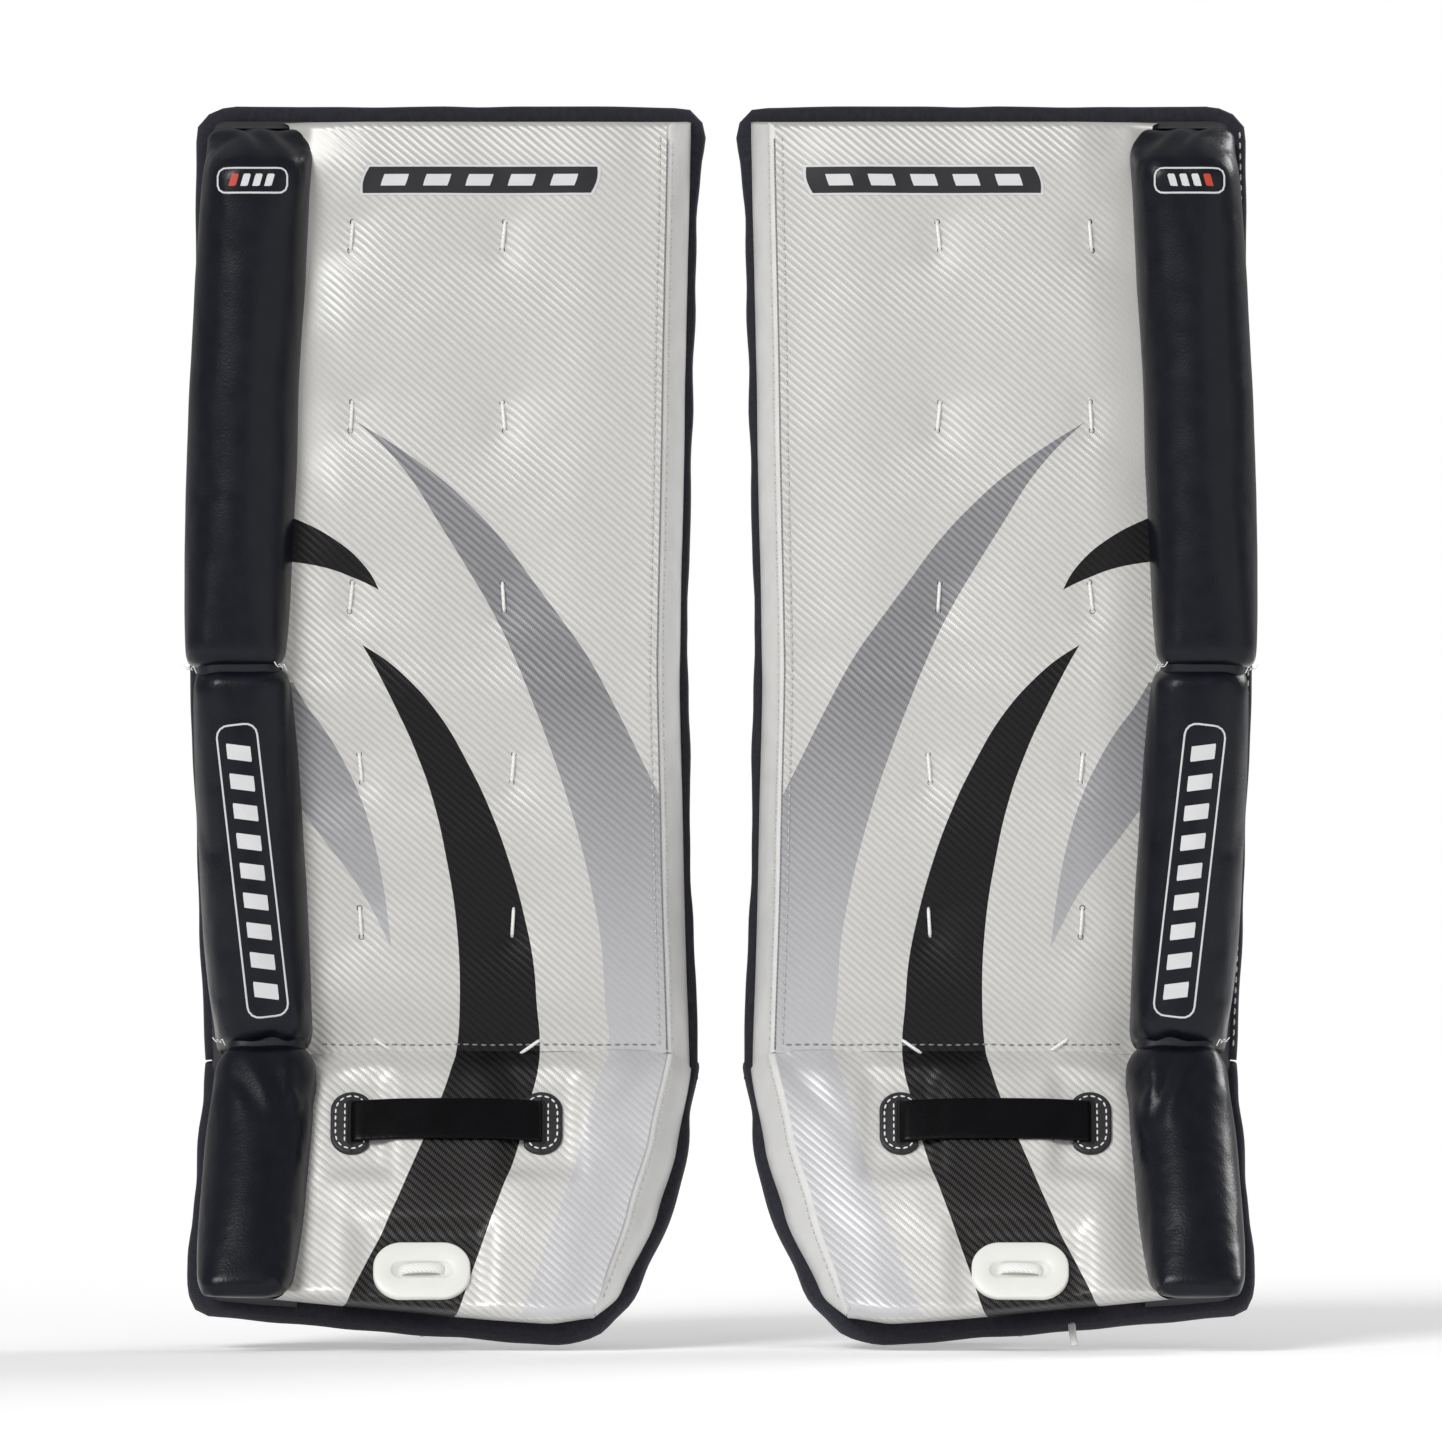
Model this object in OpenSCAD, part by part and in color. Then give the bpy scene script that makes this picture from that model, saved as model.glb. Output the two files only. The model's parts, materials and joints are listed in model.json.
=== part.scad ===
// Pair of ice hockey goalie leg pads, standing upright with their faces towards -Y.
// Each pad is a thigh, a shin and a boot section. They flex at a knee break and an ankle
// break, and each section is a foam core inside a front cover and a backing panel, with a
// padded roll down its lateral side. Two calf wings and a boot strap hold the leg behind.
// The origin is the middle of the right pad's leg channel, at calf height.
// Right and left are the wearer's, so the right pad has the lower X.

/* [Sections] */
// Height of the knee break above the floor
knee_height = 346; // [335:1:357]
// Height of the ankle seam on the face above the floor
ankle_height = 150; // [145:1:155]
// Length of the thigh section above the knee break
thigh_length = 297; // [285:1:310]
// Backward lean of the thigh section, in degrees
thigh_lean = 4; // [0:0.5:6]
// Forward slope of the boot section, in degrees
boot_slope = 32; // [30:0.5:34]
// Distance between the centre lines of the two pads
pad_spacing = 292; // [290:1:340]

/* [Layers] */
// Thickness of the foam core
core_depth = 45; // [42:1:48]
// Thickness of the front cover
cover = 2; // [1.6:0.1:2.4]
// Thickness of the backing panel
backing = 3; // [2.5:0.5:4]
// Depth of the flex axis behind the front of the face
axis_depth = 30; // [28:1:32]
// Depth of the bound rim round the backing
rim_depth = 10; // [8:1:12]

/* [Outer roll] */
// Depth of the roll from front to back
roll_depth = 54; // [50:1:56]
// Distance that the roll stands out in front of the face
roll_proud = 21; // [18:1:22]
// Thickness of the roll's cover
roll_skin = 2; // [1.5:0.25:2.5]

/* [Flex] */
// Free angle in front of the knee axis, in degrees
knee_front_gap = 13; // [13:0.5:15]
// Free angle behind the knee axis, in degrees
knee_back_gap = 17; // [17:0.5:19]
// Free angle in front of the ankle axis, in degrees
ankle_front_gap = 11; // [11:0.5:13]
// Free angle behind the ankle axis, in degrees
ankle_back_gap = 16; // [16:0.5:18]

/* [Leg channel] */
// Middle radius of the calf wings
wing_radius = 115; // [113:1:117]
// Thickness of the calf wings
wing_depth = 12; // [10:1:12]
// Height of the bottom of the wings above the floor
wing_bottom = 172; // [168:1:176]
// Height of the top of the wings above the floor
wing_top = 304; // [296:1:306]
// Width of the webbing straps
webbing = 25; // [20:1:25]

/* [Hidden] */
$fn = 48;
fit_gap = 0.3;
y_face = -axis_depth;
y_core = y_face + cover;
y_backing = y_core + core_depth;
y_back = y_backing + backing;
y_rim = y_back - rim_depth;
ankle_z = ankle_height - axis_depth * tan(boot_slope / 2);
channel_y = y_back + 45;
channel_z = 238;
far = 400;

// Outlines are lists of [x, height], clockwise seen from the front, lateral side at -X.
thigh_rear = [[-131, -20], [-127, thigh_length - 12], [-123, thigh_length - 3], [-114, thigh_length],
    [122, thigh_length], [131, thigh_length - 4], [134.5, thigh_length - 14], [127, -20]];
thigh_front = [[-131, -20], [-124, thigh_length - 20], [-120, thigh_length - 10], [-113, thigh_length - 8],
    [108, thigh_length - 8], [115, thigh_length - 10], [118, thigh_length - 18], [113, -20]];
shin_rear = [[-121, ankle_z - 30], [-131, knee_height + 20], [127, knee_height + 20], [134, ankle_z - 30]];
shin_front = [[-118, ankle_z - 30], [-128, knee_height + 20], [111, knee_height + 20], [118, ankle_z - 30]];
boot_rear = [[-129, 17], [-126, 60], [-121, 190], [135, 190], [134.5, 145],
    [127, 105], [117, 68], [98, 24], [82, 5], [62, 0]];
boot_front = [[-126, 27], [-123, 60], [-117, 190], [119, 190], [118, 145],
    [108, 105], [97, 68], [83, 26], [77, 14], [58, 11]];

// Height along the sloped boot of a point that is h above the floor, on the layer at depth y.
function boot_z(h, y) = (h - ankle_z + y * sin(boot_slope)) / cos(boot_slope);
function boot_layer(outline, y) = [for (p = outline) [p[0], boot_z(p[1], y)]];

// Lateral roll of each section: [x at the bottom, x at the top, height of the bottom, of the top, width]
thigh_roll = [-106.5, -92.5, -20, thigh_length - 9, 53];
shin_roll = [-89.5, -104, ankle_z - 20, knee_height + 20, 51];
boot_roll = [-100.5, -89, boot_z(24, y_face), boot_z(190, y_face), 50];
boot_roll_bottom = 20;
roll_radius = 11;
rim_width = 4;
end_rim = 8;
core_inset = rim_width + 0.5;
end_band = 30;
spare = 4;

// Widens an outline: lateral and medial edges go outwards, the two ends go down and up.
function grown(outline, lateral, medial, bottom, top) =
    let (low = min([for (p = outline) p[1]]) + end_band, high = max([for (p = outline) p[1]]) - end_band)
    [for (p = outline) [
        p[0] < 0 ? p[0] - lateral : p[0] + medial,
        p[1] < low ? p[1] - bottom : p[1] > high ? p[1] + top : p[1]]];
// X of the medial edge of a roll at height h, and the x of its middle.
function roll_x(roll, h) = roll[0] + (roll[1] - roll[0]) * (h - roll[2]) / (roll[3] - roll[2]);
function roll_edge(roll, h) = roll_x(roll, h) + roll[4] / 2;

// Solid between an outline at depth y0 and another with as many points at depth y1.
module slab(front, y0, rear, y1) {
    n = len(front);
    polyhedron(
        points = concat([for (p = front) [p[0], y0, p[1]]], [for (p = rear) [p[0], y1, p[1]]]),
        faces = concat(
            [[for (i = [0:n - 1]) i]], [[for (i = [0:n - 1]) 2 * n - 1 - i]],
            [for (i = [0:n - 1]) [i + n, (i + 1) % n + n, (i + 1) % n]],
            [for (i = [0:n - 1]) [i + n, (i + 1) % n, i]]));
}

// Flat panel with an outline of [x, height] points, between depths y0 and y1.
module plate(outline, y0, y1) {
    translate([0, y1, 0]) rotate([90, 0, 0]) linear_extrude(y1 - y0) polygon(outline);
}

// Solid with a side profile given as [y, height] points, across the whole pad.
module across(profile) {
    rotate([90, 0, 90]) linear_extrude(2 * far, center = true) polygon(profile);
}

// Space that a section may fill beside its flex axes, so that it clears its neighbours.
module above_knee(top = far) {
    front_rise = tan(knee_front_gap / 2 - thigh_lean);
    back_rise = tan(knee_back_gap / 2 + thigh_lean);
    across([[-60, 60 * front_rise], [0, fit_gap], [60, 60 * back_rise], [60, top], [-60, top]]);
}
module below_knee() {
    across([[-60, knee_height - 60 * tan(knee_front_gap / 2)], [-60, -far], [60, -far],
        [60, knee_height - 60 * tan(knee_back_gap / 2)], [0, knee_height - fit_gap]]);
}
module above_ankle() {
    front_rise = tan(boot_slope / 2 + ankle_front_gap / 2);
    back_drop = tan(boot_slope / 2 - ankle_back_gap / 2);
    across([[-60, ankle_z + 60 * front_rise], [0, ankle_z + fit_gap], [60, ankle_z - 60 * back_drop],
        [60, 2 * far], [-60, 2 * far]]);
}
module below_ankle(bottom = -far) {
    front_drop = tan(boot_slope / 2 + ankle_front_gap / 2);
    back_rise = tan(boot_slope / 2 - ankle_back_gap / 2);
    across([[-60, -60 * front_drop], [0, -fit_gap], [60, 60 * back_rise],
        [60, boot_z(bottom, 60)], [-60, boot_z(bottom, -60)]]);
}

// Places a section of a pad in the pad's own frame, then each pad in the row's frame.
module in_pad(side) {
    if (side == "right") translate([0, -channel_y, -channel_z]) children();
    else translate([pad_spacing, -channel_y, -channel_z]) mirror([1, 0, 0]) children();
}
module in_thigh(side) { in_pad(side) translate([0, 0, knee_height]) rotate([-thigh_lean, 0, 0]) children(); }
module in_boot(side) { in_pad(side) translate([0, 0, ankle_z]) rotate([-boot_slope, 0, 0]) children(); }

// Front sheet and medial gusset. The gusset widens towards the back, to meet the bound rim.
module face(front, rear, roll, low, high, above) {
    difference() {
        slab(front, y_face, rear, y_rim - fit_gap);
        slab(grown(front, 20, -cover, spare, above), y_core,
            grown(rear, 20, -cover, spare, above), y_rim + 5);
        roll_bed(roll, low, high, y_rim + 1);
    }
}

// Space beside the face that the roll lies in, down to depth y.
module roll_bed(roll, low, high, y) {
    edge_low = roll_edge(roll, low) + fit_gap;
    edge_high = roll_edge(roll, high) + fit_gap;
    slab([[-200, low], [-200, high], [edge_high, high], [edge_low, low]], y_face - 20,
        [[-200, low], [-200, high], [edge_high, high], [edge_low, low]], y);
}

// Foam that fills the cover, the rim and a thin bed under the roll.
module core(front, rear, roll, low, high) {
    difference() {
        slab(front, y_core, rear, y_backing);
        roll_bed(roll, low, high, y_face + roll_depth - roll_proud + fit_gap);
    }
}

// Backing panel with its bound rim, which stands forward round the core.
module backing_tray(rear, above) {
    difference() {
        plate(rear, y_rim, y_back);
        plate(grown(rear, -rim_width, -rim_width, spare, above), y_rim - 5, y_backing);
    }
}

// Square with round corners, made of true arcs.
module round_square(w, d, r) {
    square([w - 2 * r, d], center = true);
    square([w, d - 2 * r], center = true);
    for (sx = [-1, 1]) for (sy = [-1, 1]) translate([sx * (w / 2 - r), sy * (d / 2 - r)]) circle(r);
}

// Long column with the roll's section, shrunk all round by inset, through the middle of the roll.
module roll_column(roll, inset) {
    rise = roll[3] - roll[2];
    over = 50;
    translate([roll[0], y_face - roll_proud + roll_depth / 2, roll[2]])
        rotate([0, atan((roll[1] - roll[0]) / rise), 0]) translate([0, 0, -over])
            linear_extrude(rise + 2 * over)
                round_square(roll[4] - 2 * inset, roll_depth - 2 * inset, roll_radius - inset);
}

// Short lace bars over the face, with both ends sunk through it into the core.
tie_r = 1;
tie_h = 15;
tie_depth = 16;
thigh_tie_spots = [for (z = [37, 131, 225]) for (x = [-46, 33]) [x, z]];
shin_tie_spots = [for (z = [216, 296]) for (x = [-41, 38]) [x, z]];
module tie_legs(spots, r, depth) {
    for (p = spots) for (s = [-1, 1]) translate([p[0], y_face - tie_r, p[1] + s * tie_h / 2])
        rotate([-90, 0, 0]) cylinder(r = r, h = depth);
}
module ties(spots) {
    tie_legs(spots, tie_r, tie_depth);
    for (p = spots) translate([p[0], y_face - tie_r, p[1] - tie_h / 2]) {
        cylinder(r = tie_r, h = tie_h);
        for (z = [0, tie_h]) translate([0, 0, z]) sphere(tie_r);
    }
}
module tie_holes(spots) { tie_legs(spots, tie_r + fit_gap, tie_depth + 1); }

module thigh_core(side) {
    color("ivory") in_thigh(side) difference() {
        intersection() {
            core(grown(thigh_front, -1, -cover - fit_gap, 0, -1),
                grown(thigh_rear, -core_inset, -core_inset, 0, -end_rim - 0.5),
                thigh_roll, -30, thigh_length + 10);
            above_knee();
        }
        tie_holes(thigh_tie_spots);
    }
}
module thigh_face(side) {
    color("whitesmoke") in_thigh(side) difference() {
        intersection() {
            face(thigh_front, grown(thigh_rear, 0, -2, 0, -end_rim), thigh_roll, -30, thigh_length + 10, 20);
            above_knee();
        }
        tie_holes(thigh_tie_spots);
    }
}
module thigh_roll_cover(side) {
    color([0.06, 0.06, 0.08]) in_thigh(side) difference() {
        intersection() {
            roll_column(thigh_roll, 0);
            above_knee(thigh_roll[3]);
        }
        intersection() {
            roll_column(thigh_roll, roll_skin);
            across([[-60, -60], [-60, thigh_roll[3] - roll_skin],
                [60, thigh_roll[3] - roll_skin], [60, -60]]);
        }
    }
}
module thigh_roll_foam(side) {
    color("ivory") in_thigh(side) intersection() {
        roll_column(thigh_roll, roll_skin + fit_gap);
        above_knee(thigh_roll[3] - roll_skin - fit_gap);
    }
}
module thigh_back(side) {
    color([0.08, 0.08, 0.1]) in_thigh(side) intersection() {
        backing_tray(thigh_rear, -end_rim);
        above_knee();
    }
}
module thigh_ties(side) { color("white") in_thigh(side) ties(thigh_tie_spots); }

module shin_core(side) {
    color("ivory") in_pad(side) difference() {
        intersection() {
            core(grown(shin_front, -1, -cover - fit_gap, 0, 0),
                grown(shin_rear, -core_inset, -core_inset, 0, 0),
                shin_roll, ankle_z - 40, knee_height + 30);
            below_knee();
            above_ankle();
        }
        tie_holes(shin_tie_spots);
    }
}
module shin_face(side) {
    color("whitesmoke") in_pad(side) difference() {
        intersection() {
            face(shin_front, grown(shin_rear, 0, -2, 0, 0), shin_roll, ankle_z - 40, knee_height + 30, spare);
            below_knee();
            above_ankle();
        }
        tie_holes(shin_tie_spots);
    }
}
module shin_roll_cover(side) {
    color([0.06, 0.06, 0.08]) in_pad(side) difference() {
        intersection() {
            roll_column(shin_roll, 0);
            below_knee();
            above_ankle();
        }
        roll_column(shin_roll, roll_skin);
    }
}
module shin_roll_foam(side) {
    color("ivory") in_pad(side) intersection() {
        roll_column(shin_roll, roll_skin + fit_gap);
        below_knee();
        above_ankle();
    }
}
module shin_back(side) {
    color([0.08, 0.08, 0.1]) in_pad(side) intersection() {
        backing_tray(shin_rear, spare);
        below_knee();
        above_ankle();
    }
}
module shin_ties(side) { color("white") in_pad(side) ties(shin_tie_spots); }

// Knee cradle: a flat cushion with a taller landing block on the medial side.
module knee_block(side) {
    color([0.12, 0.12, 0.14]) in_pad(side) translate([0, y_back + fit_gap, 0]) {
        translate([-78, 0, 309]) cube([170, 14, 33]);
        translate([52, 14, 309]) cube([40, 40, 33]);
    }
}
module calf_cradle(side) {
    color([0.12, 0.12, 0.14]) in_pad(side) translate([0, y_back + fit_gap, (wing_bottom + wing_top) / 2])
        rotate([-90, 0, 0]) linear_extrude(14) round_square(148, wing_top - wing_bottom - 8, 18);
}

// Strap slots and lace holes that go through the boot, in the boot's frame.
strap_x = [-45, 53];
strap_z = boot_z(112, y_face);
strap_w = 24;
strap_t = 2.5;
plate_x = -8;
plate_z = boot_z(37, y_face);
lace_span = 22;
lace_r = 2.4;
module boot_openings(clear) {
    for (x = strap_x) translate([x - strap_t / 2 - clear, -60, strap_z - strap_w / 2 - clear])
        cube([strap_t + 2 * clear, 120, strap_w + 2 * clear]);
    for (s = [-1, 1]) translate([plate_x + s * lace_span / 2, -60, plate_z])
        rotate([-90, 0, 0]) cylinder(r = lace_r + clear, h = 120);
}

module boot_core(side) {
    color("ivory") in_boot(side) difference() {
        intersection() {
            slab(boot_layer(grown(boot_front, -1, -cover - fit_gap, -1, 0), y_core), y_core,
                boot_layer(grown(boot_rear, -core_inset, -core_inset, -end_rim - 1.5, 0), y_backing),
                y_backing);
            below_ankle();
        }
        roll_bed(boot_roll, -200, 60, y_face + roll_depth - roll_proud + fit_gap);
        boot_openings(0.6);
    }
}
module boot_face(side) {
    color("whitesmoke") in_boot(side) difference() {
        intersection() {
            slab(boot_layer(boot_front, y_face), y_face,
                boot_layer(grown(boot_rear, 0, -2, -end_rim - 1, 0), y_rim - fit_gap), y_rim - fit_gap);
            below_ankle();
        }
        slab(boot_layer(grown(boot_front, 20, -cover, 40, 0), y_core), y_core,
            boot_layer(grown(boot_rear, 20, -2 - cover, 40, 0), y_rim + 5), y_rim + 5);
        roll_bed(boot_roll, -200, 60, y_rim + 1);
        boot_openings(0.6);
    }
}
module boot_roll_cover(side) {
    color([0.06, 0.06, 0.08]) in_boot(side) difference() {
        intersection() {
            roll_column(boot_roll, 0);
            below_ankle(boot_roll_bottom);
        }
        intersection() {
            roll_column(boot_roll, roll_skin);
            across([[-60, boot_z(boot_roll_bottom + roll_skin, -60)], [-60, 60], [60, 60],
                [60, boot_z(boot_roll_bottom + roll_skin, 60)]]);
        }
    }
}
module boot_roll_foam(side) {
    color("ivory") in_boot(side) intersection() {
        roll_column(boot_roll, roll_skin + fit_gap);
        below_ankle(boot_roll_bottom + roll_skin + fit_gap);
    }
}
module boot_back(side) {
    color([0.08, 0.08, 0.1]) in_boot(side) difference() {
        intersection() {
            slab(boot_layer(boot_rear, y_rim), y_rim, boot_layer(boot_rear, y_back), y_back);
            below_ankle();
        }
        slab(boot_layer(grown(boot_rear, -rim_width, -rim_width, -end_rim - 1, 0), y_rim - 5), y_rim - 5,
            boot_layer(grown(boot_rear, -rim_width, -rim_width, -end_rim - 1, 0), y_backing), y_backing);
        boot_openings(0.6);
    }
}

// Half-moon patches that frame the two strap slots.
patch_h = 37;
patch_w = 11;
module strap_patches(side) {
    color([0.15, 0.15, 0.18]) in_boot(side) difference() {
        for (i = [0, 1]) translate([strap_x[i], y_face - fit_gap, strap_z]) rotate([90, 0, 0])
            linear_extrude(1.5) intersection() {
                patch_outline();
                translate([i == 0 ? -22 : -9, -30]) square([31, 60]);
            }
        boot_openings(0.6);
    }
}
module patch_outline() {
    square([2 * patch_w, patch_h - 2 * patch_w], center = true);
    for (s = [-1, 1]) translate([0, s * (patch_h / 2 - patch_w)]) circle(patch_w);
}

// Leather strap: over the instep, through both slots and round the heel, where it buckles.
heel_y = 96;
bar_x = -8;
bar_y = heel_y + 3.4;
bar_r = 1.2;
bar_clearance = 0.08;
wrap_r = 3.4;
tail_y = heel_y + 7.2;
tail_end = -40;
frame_x = [-20, 4];
frame_y = tail_y + strap_t + 1.9;
frame_r = 1.3;
module strap_band(x0, y0, dx, dy) {
    translate([x0, y0, strap_z - strap_w / 2]) cube([dx, dy, strap_w]);
}
module boot_strap(side) {
    y_bar = y_face - 4.6;
    x0 = strap_x[0] - strap_t / 2;
    x1 = strap_x[1] - strap_t / 2;
    color([0.05, 0.05, 0.06]) in_boot(side) difference() {
        union() {
            strap_band(x0, y_bar, x1 - x0 + strap_t, strap_t);
            strap_band(x0, y_bar, strap_t, heel_y - y_bar);
            strap_band(x1, y_bar, strap_t, tail_y + strap_t - y_bar);
            strap_band(x0, heel_y, bar_x - x0, strap_t);
            strap_band(tail_end, tail_y, x1 - tail_end + strap_t, strap_t);
            strap_band(x0, heel_y - 1, strap_t, strap_t + 1);
            translate([bar_x, bar_y, strap_z - strap_w / 2]) cylinder(r = wrap_r, h = strap_w);
        }
        translate([bar_x, bar_y, strap_z - strap_w]) cylinder(r = bar_r + 0.2, h = 2 * strap_w);
        translate([bar_x - 8, heel_y - 1, strap_z - 3.8]) cube([16, bar_y + wrap_r + 1.1 - heel_y, 7.6]);
        for (x = [bar_x - 8.4, 8, 24, 40]) translate([x, tail_y - 1, strap_z - 1.7])
            cube([x < 0 ? 12 : 6, strap_t + 2, 3.4]);
    }
}
module buckle_frame(side) {
    half = strap_w / 2 + 2.6;
    color("silver") in_boot(side) translate([0, 0, strap_z]) {
        translate([bar_x, bar_y, -half]) cylinder(r = bar_r, h = 2 * half);
        for (x = frame_x) translate([x, frame_y, -half]) cylinder(r = frame_r, h = 2 * half);
        for (z = [-half - 1, half - 1]) translate([frame_x[0] - frame_r, bar_y - bar_r, z])
            cube([frame_x[1] - frame_x[0] + 2 * frame_r, frame_y - bar_y + bar_r + frame_r, 2]);
    }
}
module buckle_tongue(side) {
    color("silver") in_boot(side) translate([bar_x, bar_y, strap_z]) difference() {
        union() {
            translate([0, 0, -3]) cylinder(r = 2.3, h = 6);
            rotate([0, 0, 133]) rotate([0, 90, 0]) cylinder(r = 1, h = 18);
        }
        translate([0, 0, -5]) cylinder(r = bar_r + bar_clearance, h = 10);
    }
}

module toe_plate(side) {
    color("white") in_boot(side) difference() {
        translate([plate_x, y_face - fit_gap, plate_z]) rotate([90, 0, 0])
            linear_extrude(2.5) round_square(50, 33, 15);
        boot_openings(0.3);
    }
}
// Lace loop through the plate and the boot, knotted behind.
module toe_lace(side) {
    y0 = y_face - 3 - lace_r;
    y1 = y_back + lace_r + fit_gap;
    bar = lace_span + lace_r;
    color("white") in_boot(side) translate([plate_x, 0, plate_z]) {
        for (s = [-1, 1]) translate([s * lace_span / 2, y0, 0]) rotate([-90, 0, 0])
            cylinder(r = lace_r, h = y1 - y0);
        for (y = [y0, y1]) translate([-bar / 2, y, 0]) rotate([0, 90, 0]) cylinder(r = lace_r + 0.1, h = bar);
        translate([0, y1 + 2.6, 0]) sphere(5);
    }
}

// Calf wings: padded panels that turn on a sewn edge beside the leg channel.
hinge_angle = asin((channel_y - y_back - wing_depth / 2 - 1) / wing_radius);
hinge_x = wing_radius * cos(hinge_angle);
hinge_y = channel_y - wing_radius * sin(hinge_angle);
lateral_reach = 55;
medial_reach = 8;
// Bent bar of the given thickness outside radius r, from angle a0 to a1, between two heights.
module bent(r, thick, a0, a1, low, high) {
    translate([0, channel_y, low]) linear_extrude(high - low) difference() {
        intersection() {
            circle(r + thick, $fn = 96);
            polygon(concat([[0, 0]], [for (i = [0:4]) let (a = a0 + (a1 - a0) * i / 4)
                2 * far * [cos(a), sin(a)]]));
        }
        circle(r, $fn = 96);
    }
}
module wing(reach) {
    bent(wing_radius - wing_depth / 2, wing_depth, -hinge_angle, reach, wing_bottom, wing_top);
    translate([hinge_x, hinge_y, wing_bottom]) cylinder(r = wing_depth / 2, h = wing_top - wing_bottom);
}
module lateral_side() { mirror([1, 0, 0]) children(); }
strap_r = wing_radius + wing_depth / 2 + fit_gap;
strap_heights = [wing_bottom + 22, wing_top - 22 - webbing];
strap_end = 114;
male_angle = 122;
female_angle = 36;
clip_w = 30;
module lateral_wing(side) { color([0.1, 0.1, 0.12]) in_pad(side) lateral_side() wing(lateral_reach); }
module medial_wing(side) { color([0.1, 0.1, 0.12]) in_pad(side) wing(medial_reach); }
module calf_straps(side) {
    color([0.07, 0.07, 0.08]) in_pad(side) lateral_side() for (z = strap_heights)
        bent(strap_r, 2, -8, strap_end, z, z + webbing);
}
// Clip halves stand on the strap circle, at an angle from the medial or the lateral side.
module at_clip(angle) {
    for (z = strap_heights) translate([0, channel_y, z + webbing / 2]) rotate([0, 0, angle])
        translate([strap_r + 1, 0, 0]) children();
}
module male_clips(side) {
    color([0.05, 0.05, 0.05]) in_pad(side) lateral_side() at_clip(male_angle) {
        difference() {
            translate([-3.5, -16, -clip_w / 2]) cube([7, 14, clip_w]);
            translate([-1.3, -17, -webbing / 2 - 0.3]) cube([2.6, 11, webbing + 0.6]);
        }
        for (z = [-12, -1.75, 8.5]) translate([-2, -2, z]) cube([4, 16, 3.5]);
    }
}
module female_clips(side) {
    color([0.05, 0.05, 0.05]) in_pad(side) {
        for (z = strap_heights) bent(strap_r, 2, 0, female_angle - 7.5, z, z + webbing);
        at_clip(female_angle) difference() {
            translate([-4.5, -15, -clip_w / 2]) cube([9, 30, clip_w]);
            translate([-2.6, -9, -clip_w / 2 + 2]) cube([5.2, 30, clip_w - 4]);
        }
    }
}

for (side = ["right", "left"]) {
    thigh_core(side);
    thigh_face(side);
    thigh_roll_cover(side);
    thigh_roll_foam(side);
    thigh_back(side);
    thigh_ties(side);
    shin_core(side);
    shin_face(side);
    shin_roll_cover(side);
    shin_roll_foam(side);
    shin_back(side);
    shin_ties(side);
    knee_block(side);
    calf_cradle(side);
    boot_core(side);
    boot_face(side);
    boot_roll_cover(side);
    boot_roll_foam(side);
    boot_back(side);
    strap_patches(side);
    boot_strap(side);
    buckle_frame(side);
    buckle_tongue(side);
    toe_plate(side);
    toe_lace(side);
    lateral_wing(side);
    calf_straps(side);
    male_clips(side);
    medial_wing(side);
    female_clips(side);
}
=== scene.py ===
import json
from math import atan2, copysign, cos, degrees, exp, pi, radians, sin, sqrt, tan

import bpy
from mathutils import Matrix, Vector, noise
from mathutils.bvhtree import BVHTree


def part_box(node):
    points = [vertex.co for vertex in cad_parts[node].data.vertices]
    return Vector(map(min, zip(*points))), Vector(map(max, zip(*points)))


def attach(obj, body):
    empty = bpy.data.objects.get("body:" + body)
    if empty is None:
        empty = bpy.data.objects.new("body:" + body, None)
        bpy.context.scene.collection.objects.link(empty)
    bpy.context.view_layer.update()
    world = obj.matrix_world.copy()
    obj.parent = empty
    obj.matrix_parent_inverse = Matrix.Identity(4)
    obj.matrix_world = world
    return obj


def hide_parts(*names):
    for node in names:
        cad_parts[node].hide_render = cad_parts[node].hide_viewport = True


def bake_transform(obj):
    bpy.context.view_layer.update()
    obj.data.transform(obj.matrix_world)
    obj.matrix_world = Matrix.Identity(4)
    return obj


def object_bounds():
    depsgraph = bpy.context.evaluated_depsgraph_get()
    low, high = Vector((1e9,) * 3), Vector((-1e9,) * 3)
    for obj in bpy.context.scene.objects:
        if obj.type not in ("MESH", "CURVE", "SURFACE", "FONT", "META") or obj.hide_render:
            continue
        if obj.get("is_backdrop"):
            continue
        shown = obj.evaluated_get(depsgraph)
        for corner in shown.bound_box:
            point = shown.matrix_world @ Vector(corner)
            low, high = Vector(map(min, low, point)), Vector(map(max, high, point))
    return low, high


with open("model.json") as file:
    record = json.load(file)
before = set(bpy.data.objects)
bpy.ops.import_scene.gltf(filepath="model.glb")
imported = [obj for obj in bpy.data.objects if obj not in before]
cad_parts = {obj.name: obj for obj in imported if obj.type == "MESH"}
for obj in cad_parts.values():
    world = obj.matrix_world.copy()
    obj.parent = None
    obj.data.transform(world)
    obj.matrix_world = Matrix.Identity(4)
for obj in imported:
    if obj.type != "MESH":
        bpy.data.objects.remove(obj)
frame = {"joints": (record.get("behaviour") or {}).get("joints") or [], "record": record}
cad_low, cad_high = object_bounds()

# ---------------------------------------------------------------- the pads' own coordinates
# Shapes are built for the right pad in millimetres: x from its centre line, lateral side at -x,
# y from the flex axes, front at -y, z from the floor. The left pad is the mirror image.
MM = 0.001
SIDES = ("right", "left")
JOINTS = {j["name"]: j for j in frame["joints"]}
MOUNTS = {m["name"]: Vector(m["pos_m"]) for m in frame["record"]["mounts"]}
SPACING = MOUNTS["left_leg_channel"].x / MM
KNEE = Vector(JOINTS["right_knee_flex"]["pos_m"])
ANKLE = Vector(JOINTS["right_ankle_flex"]["pos_m"])
WING = Vector(JOINTS["right_medial_wing_hinge"]["pos_m"])
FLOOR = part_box("right_boot_back")[0].z
AXIS_Y = KNEE.y
KNEE_H = (KNEE.z - FLOOR) / MM
ANKLE_H = (ANKLE.z - FLOOR) / MM
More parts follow.
